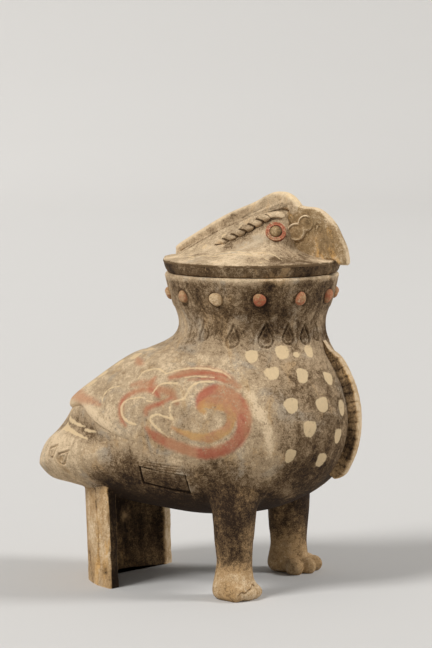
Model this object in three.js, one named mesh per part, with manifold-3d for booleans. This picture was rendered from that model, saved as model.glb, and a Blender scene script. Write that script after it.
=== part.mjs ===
// A lidded jar in the form of a standing bird, in painted earthenware.
// Millimetres, +Z up, +X where the bird faces, +Y its left side. The jar stands on z = 0.
// Built round the axis of its mouth, then set with the middle of its footprint on the origin.

import * as THREE from "three";
import { mergeVertices } from "three/addons/utils/BufferGeometryUtils.js";
import Module from "manifold-3d";

const wasm = await Module();
wasm.setup();

// Driving dimensions

// Clay cut to sit on clay leaves this gap.
const SEAT_GAP = 0.3;
// How far a seated piece reaches into its neighbour before it is cut to it.
const SEAT_DEPTH = 4;

// The body: where the collar stands on it, the middle of its underside and its wall.
const NECK_RADIUS = 58;
const NECK_HEIGHT = 192;
const UNDERSIDE_X = -25;
const UNDERSIDE_HEIGHT = 55;
const BODY_WALL = 8;
// Three outlines give the body its shape. Each runs level out of the underside (under), is upright at its
// widest point (reach, height, with fill below it and swell above), and leaves the neck at a slope (pull).
const CHEST = { reach: 82, height: 130, under: 68, fill: 42, swell: 30, pull: 18, slope: 62 };
const FLANK = { reach: 87, height: 120, under: 52, fill: 38, swell: 30, pull: 18, slope: 60 };
const TAIL = { reach: 173, height: 87, under: 55, fill: 9, swell: 28, pull: 62, slope: 23 };
// The tail is thick at its tip: how much shorter and rounder the hollow is there.
const TAIL_TIP_THICKNESS = 8;
const TAIL_HOLLOW_FILL = 24;
// How much squarer than an ellipse the hind part is in plan.
const TAIL_SQUARENESS = 0.3;

// The collar: a waist over the shoulders, then a bulge, then the mouth. Each rises over the one below.
const WAIST_RADIUS = 55;
const WAIST_RISE = 12;
const BULGE_RADIUS = 62.5;
const BULGE_RISE = 20;
const MOUTH_RADIUS = 67;
const MOUTH_RISE = 19;
const MOUTH_BORE = 58.5;
const COLLAR_WALL = 8;
const WAIST_HEIGHT = NECK_HEIGHT + WAIST_RISE;
const BULGE_HEIGHT = WAIST_HEIGHT + BULGE_RISE;
const MOUTH_HEIGHT = BULGE_HEIGHT + MOUTH_RISE;

// Studs round the bulge, a little over its widest part.
const STUD_COUNT = 12;
const STUD_RADIUS = 5;
const STUD_HEIGHT = 4;
const STUD_RISE = 3;
const STUD_START_ANGLE = -5;

// Legs: a thick column under each flank, leaning in where it joins the belly, and a paw with pinched toes.
// The right paw's toes are worn back.
const LEG_X = 8.4;
const LEG_SPREAD = 62;
const LEG_LEAN = 8;
const LEG_ROOT_RADIUS = 13;
const LEG_ROOT_HEIGHT = 93;
const THIGH_RADIUS = 18.5;
const THIGH_HEIGHT = 72;
const KNEE_RADIUS = 16.6;
const KNEE_HEIGHT = 50;
const ANKLE_RADIUS = 13.8;
const ANKLE_HEIGHT = 21;
const PAW_RADIUS = 16.5;
const PAW_HEIGHT = 8;
const SOLE_RADIUS = 15;
const TOE_COUNT = 4;
const TOE_RADIUS = 6;
const TOE_STRETCH = 1.6;
const TOE_FAN = 32;
const TOE_REACH = 18;
const WORN_TOE_REACH = 11;

// The curved slab under the tail, open to the front.
const SUPPORT_RADIUS = 68;
const SUPPORT_WALL = 10.5;
const SUPPORT_CENTRE_X = -63.5;
const SUPPORT_HALF_ANGLE = 65;
const SUPPORT_LEAN = 2.4;

// The flange down the middle of the chest, and how proud it stands half way, at its foot and at the neck.
const FLANGE_WIDTH = 14.5;
const FLANGE_RELIEF = 5.5;
const FLANGE_FOOT_RELIEF = 11;
const FLANGE_TOP_RELIEF = 4;
const FLANGE_TOP_SHARE = 0.985;
const FLANGE_FOOT_SHARE = 0.32;

// The wings: low relief on both flanks. Places on the body are shares of its outline, underside to neck,
// and degrees round it from the chest. The lower edge is low behind the leg and climbs to the tip.
const WING_RELIEF = 5;
const WING_FRONT_ANGLE = 60;
const WING_TIP_ANGLE = 171;
const WING_LOW_SHARE = 0.405;
const WING_TIP_SHARE = 0.745;
const WING_TOP_SHARE = 0.93;
const WING_CLIMB_START = 80;
const WING_CLIMB_END = 148;
const WING_NOSE = 22;
const WING_EDGE = 0.1;

// A patch of clay let into the right flank.
const PLUG_ANGLE = 263.5;
const PLUG_SHARE = 0.355;
const PLUG_LENGTH = 37;
const PLUG_WIDTH = 17;
const PLUG_TILT = -8;
const PLUG_CRACK = 0.6;

// The lid's plate and the ring under it that keeps it in the mouth.
const PLATE_THICKNESS = 9.8;
const PLATE_RADIUS = 68.8;
const PLATE_FOOT_RADIUS = 65.5;
const RING_CLEARANCE = 1.5;
const RING_WALL = 6;
const RING_DEPTH = 8;

// The bird's head on the lid. Heights are above the plate. Three lines run from the nape to the beak:
// the ridge in the middle, the brow, and the foot of the cheek. Each point is [x, half width, height].
const HEAD_RADIUS = 67.8;
const HEAD_EDGE = 1;
const HEAD_WALL = 7;
const RIDGE = [[-61, 0, 2], [-18, 0, 24.5], [27, 0, 41.5], [33, 0, 37], [41, 0, 15], [62, 0, 1.6]];
const BROW = [[-61, 8, 1.8], [-20, 22, 10.5], [19, 13, 34], [31, 9, 33], [41, 6.5, 13], [62, 2, 1.4]];
const CHEEK = [[-61, 14, 1.4], [-20, 33, 7], [19, 25, 12.5], [31, 20, 12], [41, 14, 9], [62, 4, 1.2]];
const HOLLOW_REAR = -42;
const HOLLOW_FRONT = 36;

// The crest along the middle of the head, as points [x, height above the plate].
const CREST_WIDTH = 10;
const CREST_LINE = [
  [-63, 6], [-45, 17], [-20, 31.5], [6, 45.2], [16.5, 50.6], [24.6, 52.5], [31.9, 50], [36.5, 46],
];

// The beak: a tall arched plate in line with the crest, from its root to past the rim of the lid.
const BEAK_WIDTH = 11;
const BEAK_ROOT_X = 33;
const BEAK_ROOT_HEIGHT = 36;
const BEAK_LINE = [[38.5, 42.3], [46.5, 41.5], [54.5, 37], [61.7, 29.5], [67.4, 21], [72.2, 12], [75.2, 2.5]];

// The raised scalloped border at the root of the beak: two lobes and the notch between them.
const CERE_RELIEF = 2;
const CERE_LOWER = { x: 38, height: 21.5, radius: 6 };
const CERE_UPPER = { x: 45.5, height: 29.5, radius: 6.5 };

// The eyes: a domed pupil in a flat ring, on the steep cheek.
const EYE_X = 25.5;
const EYE_HEIGHT = 22.5;
const PUPIL_RADIUS = 4.6;
const PUPIL_DOME = 3.2;
const EYE_RING_RADIUS = 7.8;
const EYE_RING_RELIEF = 1.6;

// The twisted strip of clay along each brow.
const ROPE_TWISTS = 6;
const ROPE_RADIUS = 3;
const ROPE_REAR_X = -22;
const ROPE_FRONT_X = 18;
const ROPE_LAP = 1.45;
const ROPE_SLANT = 14;

// Facets
const RING_STEPS = 48;
const BODY_STEPS = 20;
const LEG_STEPS = 24;
const SMALL_STEPS = 18;

// Solids

// A closed mesh as a solid, with its faces turned outwards.
function solidOf(geometry) {
  const bare = geometry.clone();
  bare.deleteAttribute("normal");
  bare.deleteAttribute("uv");
  const merged = mergeVertices(bare, 1e-4);
  const vertProperties = new Float32Array(merged.attributes.position.array);
  const triVerts = new Uint32Array(merged.index.array);
  const solid = new wasm.Manifold(new wasm.Mesh({ numProp: 3, vertProperties, triVerts }));
  if (solid.volume() > 0) return solid;
  for (let i = 0; i < triVerts.length; i += 3) {
    [triVerts[i + 1], triVerts[i + 2]] = [triVerts[i + 2], triVerts[i + 1]];
  }
  return new wasm.Manifold(new wasm.Mesh({ numProp: 3, vertProperties, triVerts }));
}

function geometryOf(solid) {
  const { vertProperties, triVerts } = solid.getMesh();
  const geometry = new THREE.BufferGeometry();
  geometry.setAttribute("position", new THREE.BufferAttribute(new Float32Array(vertProperties), 3));
  geometry.setIndex(new THREE.BufferAttribute(new Uint32Array(triVerts), 1));
  const flat = geometry.toNonIndexed();
  flat.computeVertexNormals();
  return flat;
}

// The largest piece of a cut solid, so that no crumb is left beside it.
function largest(solid) {
  return solid.decompose().reduce((best, part) => (part.volume() > best.volume() ? part : best));
}

// Rings of equal point counts joined into one closed form, with a fan over each end.
function ringForm(rings) {
  const count = rings[0].length;
  const points = rings.flat();
  const middle = (ring) => ring.reduce((sum, p) => sum.add(p), new THREE.Vector3()).divideScalar(count);
  points.push(middle(rings[0]), middle(rings.at(-1)));
  const first = points.length - 2;
  const last = points.length - 1;
  const index = [];
  for (let row = 0; row + 1 < rings.length; row += 1) {
    for (let i = 0; i < count; i += 1) {
      const a = row * count + i;
      const b = row * count + ((i + 1) % count);
      index.push(a, b, b + count, a, b + count, a + count);
    }
  }
  const top = (rings.length - 1) * count;
  for (let i = 0; i < count; i += 1) {
    const next = (i + 1) % count;
    index.push(first, next, i, last, top + i, top + next);
  }
  const geometry = new THREE.BufferGeometry().setFromPoints(points);
  geometry.setIndex(index);
  return geometry;
}

// A slab between two grids of points of the same size, closed round its border.
function slabForm(upper, lower) {
  const rows = upper.length;
  const columns = upper[0].length;
  const points = [...upper.flat(), ...lower.flat()];
  const under = rows * columns;
  const at = (row, column) => row * columns + column;
  const index = [];
  const quad = (a, b, c, d) => index.push(a, b, c, a, c, d);
  for (let r = 0; r + 1 < rows; r += 1) {
    for (let c = 0; c + 1 < columns; c += 1) {
      quad(at(r, c), at(r, c + 1), at(r + 1, c + 1), at(r + 1, c));
      quad(under + at(r, c), under + at(r + 1, c), under + at(r + 1, c + 1), under + at(r, c + 1));
    }
  }
  const border = [];
  for (let c = 0; c + 1 < columns; c += 1) border.push(at(0, c));
  for (let r = 0; r + 1 < rows; r += 1) border.push(at(r, columns - 1));
  for (let c = columns - 1; c > 0; c -= 1) border.push(at(rows - 1, c));
  for (let r = rows - 1; r > 0; r -= 1) border.push(at(r, 0));
  border.forEach((a, i) => {
    const b = border[(i + 1) % border.length];
    quad(b, a, under + a, under + b);
  });
  const geometry = new THREE.BufferGeometry().setFromPoints(points);
  geometry.setIndex(index);
  return geometry;
}

// A turned form about +Z, from its profile of [radius, height] points.
function turned(profile, steps = RING_STEPS) {
  const points = profile.map(([radius, height]) => new THREE.Vector2(radius, height));
  return new THREE.LatheGeometry(points, steps).rotateX(Math.PI / 2);
}

// A plate in the middle plane of the bird, from its outline of [x, z] points.
function midPlate(outline, width) {
  const shape = new THREE.Shape(outline.map(([x, z]) => new THREE.Vector2(x, z)));
  const plate = new THREE.ExtrudeGeometry(shape, { depth: width, bevelEnabled: false });
  return plate.rotateX(Math.PI / 2).translate(0, width / 2, 0);
}

// Both sides of the bird, by name and by the sign of y.
const SIDES = [["right", -1], ["left", 1]];

// The form mirrored to the side asked for: forms are drawn on the right, where y is negative.
const onSide = (solid, sign) => (sign < 0 ? solid : solid.mirror([0, 1, 0]));

// Points along a smooth curve through the ones given.
function smooth(points, count) {
  const curve = new THREE.SplineCurve(points.map(([x, z]) => new THREE.Vector2(x, z)));
  return curve.getPoints(count).map((p) => [p.x, p.y]);
}

// Body

const radians = THREE.MathUtils.degToRad;

// The point of one outline at a share of its way: the underside is 0, its widest point 0.5 and the neck 1.
function outlinePoint(form, start, share) {
  const slope = radians(form.slope);
  const low = share < 0.5;
  const knots = low
    ? [
        [start, UNDERSIDE_HEIGHT],
        [start + form.under, UNDERSIDE_HEIGHT],
        [form.reach, form.height - form.fill],
        [form.reach, form.height],
      ]
    : [
        [form.reach, form.height],
        [form.reach, form.height + form.swell],
        [NECK_RADIUS + form.pull * Math.cos(slope), NECK_HEIGHT - form.pull * Math.sin(slope)],
        [NECK_RADIUS, NECK_HEIGHT],
      ];
  const curve = new THREE.CubicBezierCurve(...knots.map(([x, y]) => new THREE.Vector2(x, y)));
  return curve.getPoint(low ? 2 * share : 2 * share - 1);
}

// The body's surface at a share of its outline and an angle round it from the chest. Each ring is an ellipse
// in front and a squarer oval behind. Its height blends from the chest's or tail's outline to the flank's.
function bodyPoint(share, angle, tailForm = TAIL) {
  const chest = outlinePoint(CHEST, UNDERSIDE_X, share);
  const flank = outlinePoint(FLANK, 0, share);
  const tail = outlinePoint(tailForm, -UNDERSIDE_X, share);
  const centre = UNDERSIDE_X * (1 - share * share);
  const along = Math.cos(angle);
  const across = Math.sin(angle);
  const power = along < 0 ? 2 / (2 + TAIL_SQUARENESS * Math.sin(Math.PI * share)) : 1;
  const reach = along < 0 ? -tail.x - centre : chest.x - centre;
  const height = along < 0 ? tail.y : chest.y;
  return new THREE.Vector3(
    centre + reach * Math.abs(along) ** power,
    flank.x * Math.sign(across) * Math.abs(across) ** power,
    flank.y * across * across + height * along * along,
  );
}

function bodyNormal(share, angle, tailForm = TAIL) {
  const step = 0.002;
  const s = THREE.MathUtils.clamp(share, step, 1 - step);
  const round = bodyPoint(s, angle + step, tailForm).sub(bodyPoint(s, angle - step, tailForm));
  const up = bodyPoint(s + step, angle, tailForm).sub(bodyPoint(s - step, angle, tailForm));
  return round.cross(up).normalize();
}

const bodyAt = (share, angle, offset, tailForm = TAIL) =>
  bodyPoint(share, angle, tailForm).addScaledVector(bodyNormal(share, angle, tailForm), offset);

const ringAngles = Array.from({ length: RING_STEPS }, (_, i) => (2 * Math.PI * i) / RING_STEPS);
const levelRing = (radius, height) =>
  ringAngles.map((a) => new THREE.Vector3(radius * Math.cos(a), radius * Math.sin(a), height));
// The rings of the body from its underside up to just below the neck, moved out by an offset.
const bodyRings = (offset, tailForm = TAIL) =>
  Array.from({ length: BODY_STEPS - 1 }, (_, i) => (i + 1) / BODY_STEPS).map((share) =>
    ringAngles.map((angle) => bodyAt(share, angle, offset, tailForm)),
  );

// The body as one closed lump, grown by an offset: what is seated on the body is cut by it.
function bodyLump(offset) {
  return solidOf(ringForm([...bodyRings(offset), levelRing(NECK_RADIUS + offset, NECK_HEIGHT + offset)]));
}
const bodySeat = bodyLump(SEAT_GAP);
const seatOnBody = (solid) => largest(solid.subtract(bodySeat));

// The plug is a block across the wall, square to the surface at its middle. Its crack is all round it.
function plugBlock(margin) {
  const angle = radians(PLUG_ANGLE);
  const deep = 3 * BODY_WALL;
  const block = new THREE.BoxGeometry(PLUG_LENGTH + 2 * margin, PLUG_WIDTH + 2 * margin, deep);
  const out = bodyNormal(PLUG_SHARE, angle);
  const level = new THREE.Vector3(0, 0, 1).cross(out).normalize().applyAxisAngle(out, radians(PLUG_TILT));
  const up = out.clone().cross(level);
  const place = new THREE.Matrix4().makeBasis(level, up, out).setPosition(bodyPoint(PLUG_SHARE, angle));
  return solidOf(block.applyMatrix4(place));
}

function bodyWall() {
  const hollow = { ...TAIL, reach: TAIL.reach - TAIL_TIP_THICKNESS, fill: TAIL_HOLLOW_FILL };
  const rings = [
    ...bodyRings(0),
    levelRing(NECK_RADIUS, NECK_HEIGHT),
    levelRing(NECK_RADIUS - BODY_WALL, NECK_HEIGHT),
    ...bodyRings(-BODY_WALL, hollow).reverse(),
  ];
  return solidOf(ringForm(rings));
}

// Collar and studs

// The collar's outside from the shoulders to the mouth, moved out by an offset.
function collarOutside(offset) {
  const line = [
    [NECK_RADIUS, NECK_HEIGHT],
    [WAIST_RADIUS + 0.8, (NECK_HEIGHT + WAIST_HEIGHT) / 2],
    [WAIST_RADIUS, WAIST_HEIGHT],
    [(WAIST_RADIUS + BULGE_RADIUS) / 2, (WAIST_HEIGHT + BULGE_HEIGHT) / 2],
    [BULGE_RADIUS, BULGE_HEIGHT],
    [MOUTH_RADIUS, MOUTH_HEIGHT],
  ];
  return smooth(line, 10).map(([radius, height]) => [radius + offset, height]);
}

function collarWall() {
  const inside = [
    [MOUTH_BORE, MOUTH_HEIGHT],
    [MOUTH_BORE, MOUTH_HEIGHT - RING_DEPTH - 2 * RING_CLEARANCE],
    [BULGE_RADIUS - COLLAR_WALL, BULGE_HEIGHT],
    [WAIST_RADIUS - COLLAR_WALL, WAIST_HEIGHT],
    [NECK_RADIUS - BODY_WALL, NECK_HEIGHT],
  ];
  const outside = collarOutside(0);
  return solidOf(turned([...outside, ...inside, outside[0]]));
}

function collarLump(offset) {
  return solidOf(turned([[0, NECK_HEIGHT], ...collarOutside(offset), [0, MOUTH_HEIGHT]]));
}

// The collar's radius at a height, between the points of its outline.
function collarRadius(height) {
  const line = collarOutside(0);
  const i = line.findIndex(([, z], n) => n + 1 < line.length && line[n + 1][1] >= height);
  const [[r0, z0], [r1, z1]] = [line[i], line[i + 1]];
  return r0 + ((r1 - r0) * (height - z0)) / (z1 - z0);
}

function stud(i) {
  const dome = new THREE.SphereGeometry(1, 12, 6).scale(STUD_HEIGHT, STUD_RADIUS, STUD_RADIUS);
  const level = BULGE_HEIGHT + STUD_RISE;
  dome.translate(collarRadius(level), 0, level);
  dome.rotateZ(radians(STUD_START_ANGLE + (360 * i) / STUD_COUNT));
  return largest(solidOf(dome).subtract(collarLump(SEAT_GAP)));
}

// Legs, tail support, flange and wings

// Everything that stands on the ground is cut level there.
function aboveGround(solid) {
  const depth = NECK_HEIGHT / 4;
  const across = 6 * TAIL.reach;
  const ground = new THREE.BoxGeometry(across, across, depth).translate(0, 0, -depth / 2);
  return solid.subtract(solidOf(ground));
}

// A column with its toes in a fan to the front. Above the knee it leans in under the belly.
function leg(sign) {
  const buried = 2;
  const sections = [
    [SOLE_RADIUS, -buried],
    [SOLE_RADIUS, 0],
    [PAW_RADIUS, PAW_HEIGHT],
    [ANKLE_RADIUS, ANKLE_HEIGHT],
    [KNEE_RADIUS, KNEE_HEIGHT],
    [THIGH_RADIUS, THIGH_HEIGHT],
    [LEG_ROOT_RADIUS, LEG_ROOT_HEIGHT],
  ];
  const rings = smooth(sections, 14).map(([radius, height]) => {
    const lean = LEG_LEAN * Math.max(0, (height - KNEE_HEIGHT) / (LEG_ROOT_HEIGHT - KNEE_HEIGHT)) ** 2;
    return Array.from({ length: LEG_STEPS }, (_, i) => {
      const a = (2 * Math.PI * i) / LEG_STEPS;
      return new THREE.Vector3(radius * Math.cos(a), radius * Math.sin(a) - sign * lean, height);
    });
  });
  let solid = solidOf(ringForm(rings));
  const reach = sign < 0 ? WORN_TOE_REACH : TOE_REACH;
  for (let i = 0; i < TOE_COUNT; i += 1) {
    const toe = new THREE.SphereGeometry(TOE_RADIUS, 12, 8).scale(TOE_STRETCH, 1, 1);
    toe.translate(reach, 0, TOE_RADIUS * 0.8).rotateZ(radians(TOE_FAN * (i - (TOE_COUNT - 1) / 2)));
    solid = solid.add(solidOf(toe));
  }
  return largest(aboveGround(solid.translate([LEG_X, sign * LEG_SPREAD, 0])).subtract(bodySeat));
}

// A curved slab with a round back, open to the front, leaning back up to the underside of the tail.
function tailSupport() {
  const half = radians(SUPPORT_HALF_ANGLE);
  const buried = 5;
  const shape = new THREE.Shape();
  shape.absarc(0, 0, SUPPORT_RADIUS, Math.PI - half, Math.PI + half, false);
  shape.absarc(0, 0, SUPPORT_RADIUS - SUPPORT_WALL, Math.PI + half, Math.PI - half, true);
  const slab = new THREE.ExtrudeGeometry(shape, {
    depth: TAIL.height + buried,
    bevelEnabled: false,
    curveSegments: 18,
  });
  slab.translate(0, 0, -buried).rotateY(-radians(SUPPORT_LEAN)).translate(SUPPORT_CENTRE_X, 0, 0);
  return seatOnBody(aboveGround(solidOf(slab)));
}

// A strip down the chest's outline. It swells out of the neck and ends blunt under the chest.
function chestFlange() {
  const steps = 16;
  const outer = [];
  const inner = [];
  for (let i = 0; i <= steps; i += 1) {
    const up = i / steps;
    const share = THREE.MathUtils.lerp(FLANGE_FOOT_SHARE, FLANGE_TOP_SHARE, up);
    const foot = THREE.MathUtils.lerp(FLANGE_FOOT_RELIEF, FLANGE_RELIEF, Math.min(1, 3 * up));
    const relief = THREE.MathUtils.lerp(foot, FLANGE_TOP_RELIEF, Math.max(0, 4 * up - 3));
    const out = bodyAt(share, 0, relief);
    const root = bodyAt(share, 0, -SEAT_DEPTH);
    outer.push([out.x, out.z]);
    inner.push([root.x, root.z]);
  }
  return seatOnBody(solidOf(midPlate([...outer, ...inner.reverse()], FLANGE_WIDTH)));
}

// A low slab over the right flank, from its round front edge behind the chest to its tip beside the tail.
// Its lower edge stands proud and its upper edge fades into the back.
function wing() {
  const columns = 24;
  const rows = 9;
  const { lerp, smoothstep } = THREE.MathUtils;
  const middle = (WING_LOW_SHARE + WING_TOP_SHARE) / 2;
  const place = (along, up, offset) => {
    const degrees = lerp(WING_FRONT_ANGLE, WING_TIP_ANGLE, along);
    const nose = Math.min(1, (degrees - WING_FRONT_ANGLE) / WING_NOSE);
    const opened = 0.15 + 0.85 * Math.sqrt(1 - (1 - nose) ** 2);
    const climb = smoothstep(degrees, WING_CLIMB_START, WING_CLIMB_END);
    const low = lerp(middle, lerp(WING_LOW_SHARE, WING_TIP_SHARE, climb), opened);
    const high = lerp(middle, WING_TOP_SHARE, opened);
    return bodyAt(lerp(low, high, up), -radians(degrees), offset);
  };
  const round = (d) => Math.sqrt(1 - (1 - Math.min(1, d / WING_EDGE)) ** 2);
  const relief = (along, up) =>
    1 + (WING_RELIEF - 1) * round(along) * round(up) * round(1 - along) * (1 - up) ** 0.3;
  const row = (up, offset) =>
    Array.from({ length: columns + 1 }, (_, c) => place(c / columns, up, offset(c / columns, up)));
  const grid = (offset) => Array.from({ length: rows + 1 }, (_, r) => row(r / rows, offset));
  return solidOf(slabForm(grid(relief), grid(() => -SEAT_DEPTH)));
}

// Lid

const PLATE_TOP = MOUTH_HEIGHT + PLATE_THICKNESS;
const RING_RADIUS = MOUTH_BORE - RING_CLEARANCE;
const HATCH_RADIUS = RING_RADIUS - RING_WALL;

function lidPlate() {
  const profile = [
    [HATCH_RADIUS, MOUTH_HEIGHT],
    [PLATE_FOOT_RADIUS, MOUTH_HEIGHT],
    [PLATE_RADIUS, PLATE_TOP],
    [HATCH_RADIUS, PLATE_TOP],
    [HATCH_RADIUS, MOUTH_HEIGHT],
  ];
  return solidOf(turned(profile));
}

function lidRing() {
  const profile = [
    [HATCH_RADIUS, MOUTH_HEIGHT - RING_DEPTH],
    [RING_RADIUS, MOUTH_HEIGHT - RING_DEPTH],
    [RING_RADIUS, MOUTH_HEIGHT],
    [HATCH_RADIUS, MOUTH_HEIGHT],
    [HATCH_RADIUS, MOUTH_HEIGHT - RING_DEPTH],
  ];
  return solidOf(turned(profile));
}

// A head line's half width and height at x, between its points.
function headLine(line, x) {
  const i = Math.max(0, Math.min(line.length - 2, line.findLastIndex((p) => p[0] <= x)));
  const share = THREE.MathUtils.clamp((x - line[i][0]) / (line[i + 1][0] - line[i][0]), 0, 1);
  return [1, 2].map((k) => THREE.MathUtils.lerp(line[i][k], line[i + 1][k], share));
}

// The head's right half at x, as half widths and heights from the rim of the plate up to the ridge.
function headSection(x) {
  const rim = Math.sqrt(HEAD_RADIUS ** 2 - x ** 2);
  const lines = [CHEEK, BROW, RIDGE].map((line) => headLine(line, x));
  return [[rim, HEAD_EDGE], ...lines.map(([half, height]) => [Math.min(half, rim), height])];
}

// A closed form over cross-sections at the stations, with a level foot.
function headForm(stations, section, foot) {
  const rows = stations.map((x) => {
    const left = section(x);
    const right = left.slice(0, -1).map(([half, height]) => [-half, height]);
    const profile = [...right, left.at(-1), ...left.slice(0, -1).reverse()];
    return profile.map(([y, height]) => new THREE.Vector3(x, y, PLATE_TOP + height));
  });
  const base = rows.map((row) => row.map((p) => new THREE.Vector3(p.x, p.y, PLATE_TOP + foot)));
  return solidOf(slabForm(rows, base));
}

const HEAD_STATIONS = [-66, -61, -50, -40, -30, -20, -10, 0, 10, 19, 27, 31, 33, 37, 41, 48, 55, 62, 66];

// The head as one closed lump, grown by an offset: what is seated on the head is cut by it.
function headLump(offset) {
  const grown = (x) => headSection(x).map(([half, height]) => [half && half + offset, height + offset]);
  return headForm(HEAD_STATIONS, grown, -offset);
}
const headSeat = headLump(SEAT_GAP);
const seatOnHead = (solid) => largest(solid.subtract(headSeat));

// The head is hollow and open below, where the plate has its hatch.
function headWall() {
  const drop = 2;
  const inside = (x) => {
    const [, cheek, brow, ridge] = headSection(x);
    return [
      [cheek[0] - HEAD_WALL / 2, -drop / 2],
      [brow[0] - HEAD_WALL / 2, Math.max(-drop / 2, brow[1] - HEAD_WALL)],
      [0, Math.max(-drop / 2, ridge[1] - 1.3 * HEAD_WALL)],
    ];
  };
  const between = HEAD_STATIONS.filter((x) => x > HOLLOW_REAR && x < HOLLOW_FRONT);
  const hollow = headForm([HOLLOW_REAR, ...between, HOLLOW_FRONT], inside, -drop);
  return headLump(0).subtract(hollow);
}

// A point on the steep cheek at x and a height, on the right side, with the surface's outward direction.
function cheekPoint(x, height) {
  const at = (px, share) => {
    const [, cheek, brow] = headSection(px);
    const half = THREE.MathUtils.lerp(cheek[0], brow[0], share);
    return new THREE.Vector3(px, -half, PLATE_TOP + THREE.MathUtils.lerp(cheek[1], brow[1], share));
  };
  const [, cheek, brow] = headSection(x);
  const share = (height - cheek[1]) / (brow[1] - cheek[1]);
  const along = at(x + 1, share).sub(at(x - 1, share));
  const up = at(x, share + 0.1).sub(at(x, share - 0.1));
  return { point: at(x, share), out: along.cross(up).normalize() };
}

// A turned form stood on the cheek, with its axis square to the surface.
function onCheek(profile) {
  const { point, out } = cheekPoint(EYE_X, EYE_HEIGHT);
  const turn = new THREE.Quaternion().setFromUnitVectors(new THREE.Vector3(0, 0, 1), out);
  const geometry = turned(profile, SMALL_STEPS).applyQuaternion(turn).translate(point.x, point.y, point.z);
  return solidOf(geometry);
}

function pupil() {
  const dome = Array.from({ length: 6 }, (_, i) => {
    const a = (i * Math.PI) / 10;
    return [PUPIL_RADIUS * Math.cos(a), PUPIL_DOME * Math.sin(a)];
  });
  return onCheek([[0, -SEAT_DEPTH], [PUPIL_RADIUS, -SEAT_DEPTH], ...dome.slice(0, -1), [0, PUPIL_DOME]]);
}

function eyeRing() {
  const inner = PUPIL_RADIUS + SEAT_GAP;
  return onCheek([
    [inner, -SEAT_DEPTH],
    [EYE_RING_RADIUS, -SEAT_DEPTH],
    [EYE_RING_RADIUS, EYE_RING_RELIEF / 2],
    [EYE_RING_RADIUS - 1, EYE_RING_RELIEF],
    [inner, EYE_RING_RELIEF],
    [inner, -SEAT_DEPTH],
  ]);
}

// A strip twisted into a row of slanted lobes, along the brow line.
function browRope() {
  const centre = (i) => {
    const x = THREE.MathUtils.lerp(ROPE_REAR_X, ROPE_FRONT_X, i / (ROPE_TWISTS - 1));
    const [half, height] = headLine(BROW, x);
    return new THREE.Vector3(x, -half - ROPE_RADIUS / 3, PLATE_TOP + height + ROPE_RADIUS / 2);
  };
  const last = ROPE_TWISTS - 1;
  const run = centre(last).sub(centre(0));
  const length = (run.length() / last) * ROPE_LAP;
  const turn = new THREE.Quaternion().setFromUnitVectors(new THREE.Vector3(1, 0, 0), run.normalize());
  const lobes = Array.from({ length: ROPE_TWISTS }, (_, i) => {
    const lobe = new THREE.SphereGeometry(1, 8, 6).scale(length / 2, ROPE_RADIUS, ROPE_RADIUS);
    const { x, y, z } = centre(i);
    return solidOf(lobe.rotateY(radians(ROPE_SLANT)).applyQuaternion(turn).translate(x, y, z));
  });
  return lobes.reduce((rope, lobe) => rope.add(lobe));
}

const abovePlate = (line) => line.map(([x, height]) => [x, PLATE_TOP + height]);

// The crest stands on the ridge from the nape to its peak and ends over the root of the beak.
function crest() {
  const [frontX, frontHeight] = BEAK_LINE[0];
  const root = [[frontX, frontHeight + SEAT_GAP], [BEAK_ROOT_X, BEAK_ROOT_HEIGHT + SEAT_GAP]];
  const ridge = RIDGE.filter(([x]) => x < BEAK_ROOT_X).reverse();
  const under = ridge.map(([x, , height]) => [x, height - SEAT_DEPTH]);
  const nape = [CREST_LINE[0][0], under.at(-1)[1]];
  const outline = [...smooth(CREST_LINE, 24), ...root, ...under, nape];
  return seatOnHead(solidOf(midPlate(abovePlate(outline), CREST_WIDTH)));
}

function beak() {
  const tip = BEAK_LINE.at(-1)[0];
  const outline = [
    ...smooth(BEAK_LINE, 20),
    [tip - 1.5, SEAT_GAP],
    [BEAK_ROOT_X, SEAT_GAP],
    [BEAK_ROOT_X, BEAK_ROOT_HEIGHT],
  ];
  return seatOnHead(solidOf(midPlate(abovePlate(outline), BEAK_WIDTH)));
}

// A thin scalloped pad on the right face of the beak.
function cere() {
  const disc = ({ x, height, radius }) => {
    const pad = new THREE.CylinderGeometry(radius, radius, CERE_RELIEF, 28);
    const y = -BEAK_WIDTH / 2 - SEAT_GAP - CERE_RELIEF / 2;
    return solidOf(pad.translate(x, y, PLATE_TOP + height));
  };
  return disc(CERE_LOWER).add(disc(CERE_UPPER));
}

// Assembly

// Clay and paint, by the piece they are seen on.
const clay = new THREE.MeshStandardMaterial({ color: 0x7d6f5c, roughness: 0.95, metalness: 0 });
const paleClay = new THREE.MeshStandardMaterial({ color: 0x9a8a6f, roughness: 0.95, metalness: 0 });
const ochre = new THREE.MeshStandardMaterial({ color: 0x9c8452, roughness: 0.95, metalness: 0 });
const redPaint = new THREE.MeshStandardMaterial({ color: 0x9a5544, roughness: 0.95, metalness: 0 });
const creamPaint = new THREE.MeshStandardMaterial({ color: 0xc0ad88, roughness: 0.95, metalness: 0 });

const model = new THREE.Group();

function place(name, solid, material) {
  const mesh = new THREE.Mesh(geometryOf(solid), material);
  mesh.name = name;
  model.add(mesh);
}

place("body_shell", bodyWall().subtract(plugBlock(PLUG_CRACK)), clay);
place("flank_plug", largest(bodyWall().intersect(plugBlock(0))), clay);
place("neck_collar", collarWall(), clay);
for (let i = 0; i < STUD_COUNT; i += 1) {
  const number = String(i + 1).padStart(2, "0");
  place(`collar_stud_${number}`, stud(i), i % 2 ? creamPaint : redPaint);
}
place("tail_support", tailSupport(), ochre);
place("chest_flange", chestFlange(), paleClay);
place("lid_plate", lidPlate(), clay);
place("lid_locating_ring", lidRing(), clay);
place("head_shell", headWall(), paleClay);
place("crest", crest(), paleClay);
place("beak", beak(), ochre);
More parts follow.
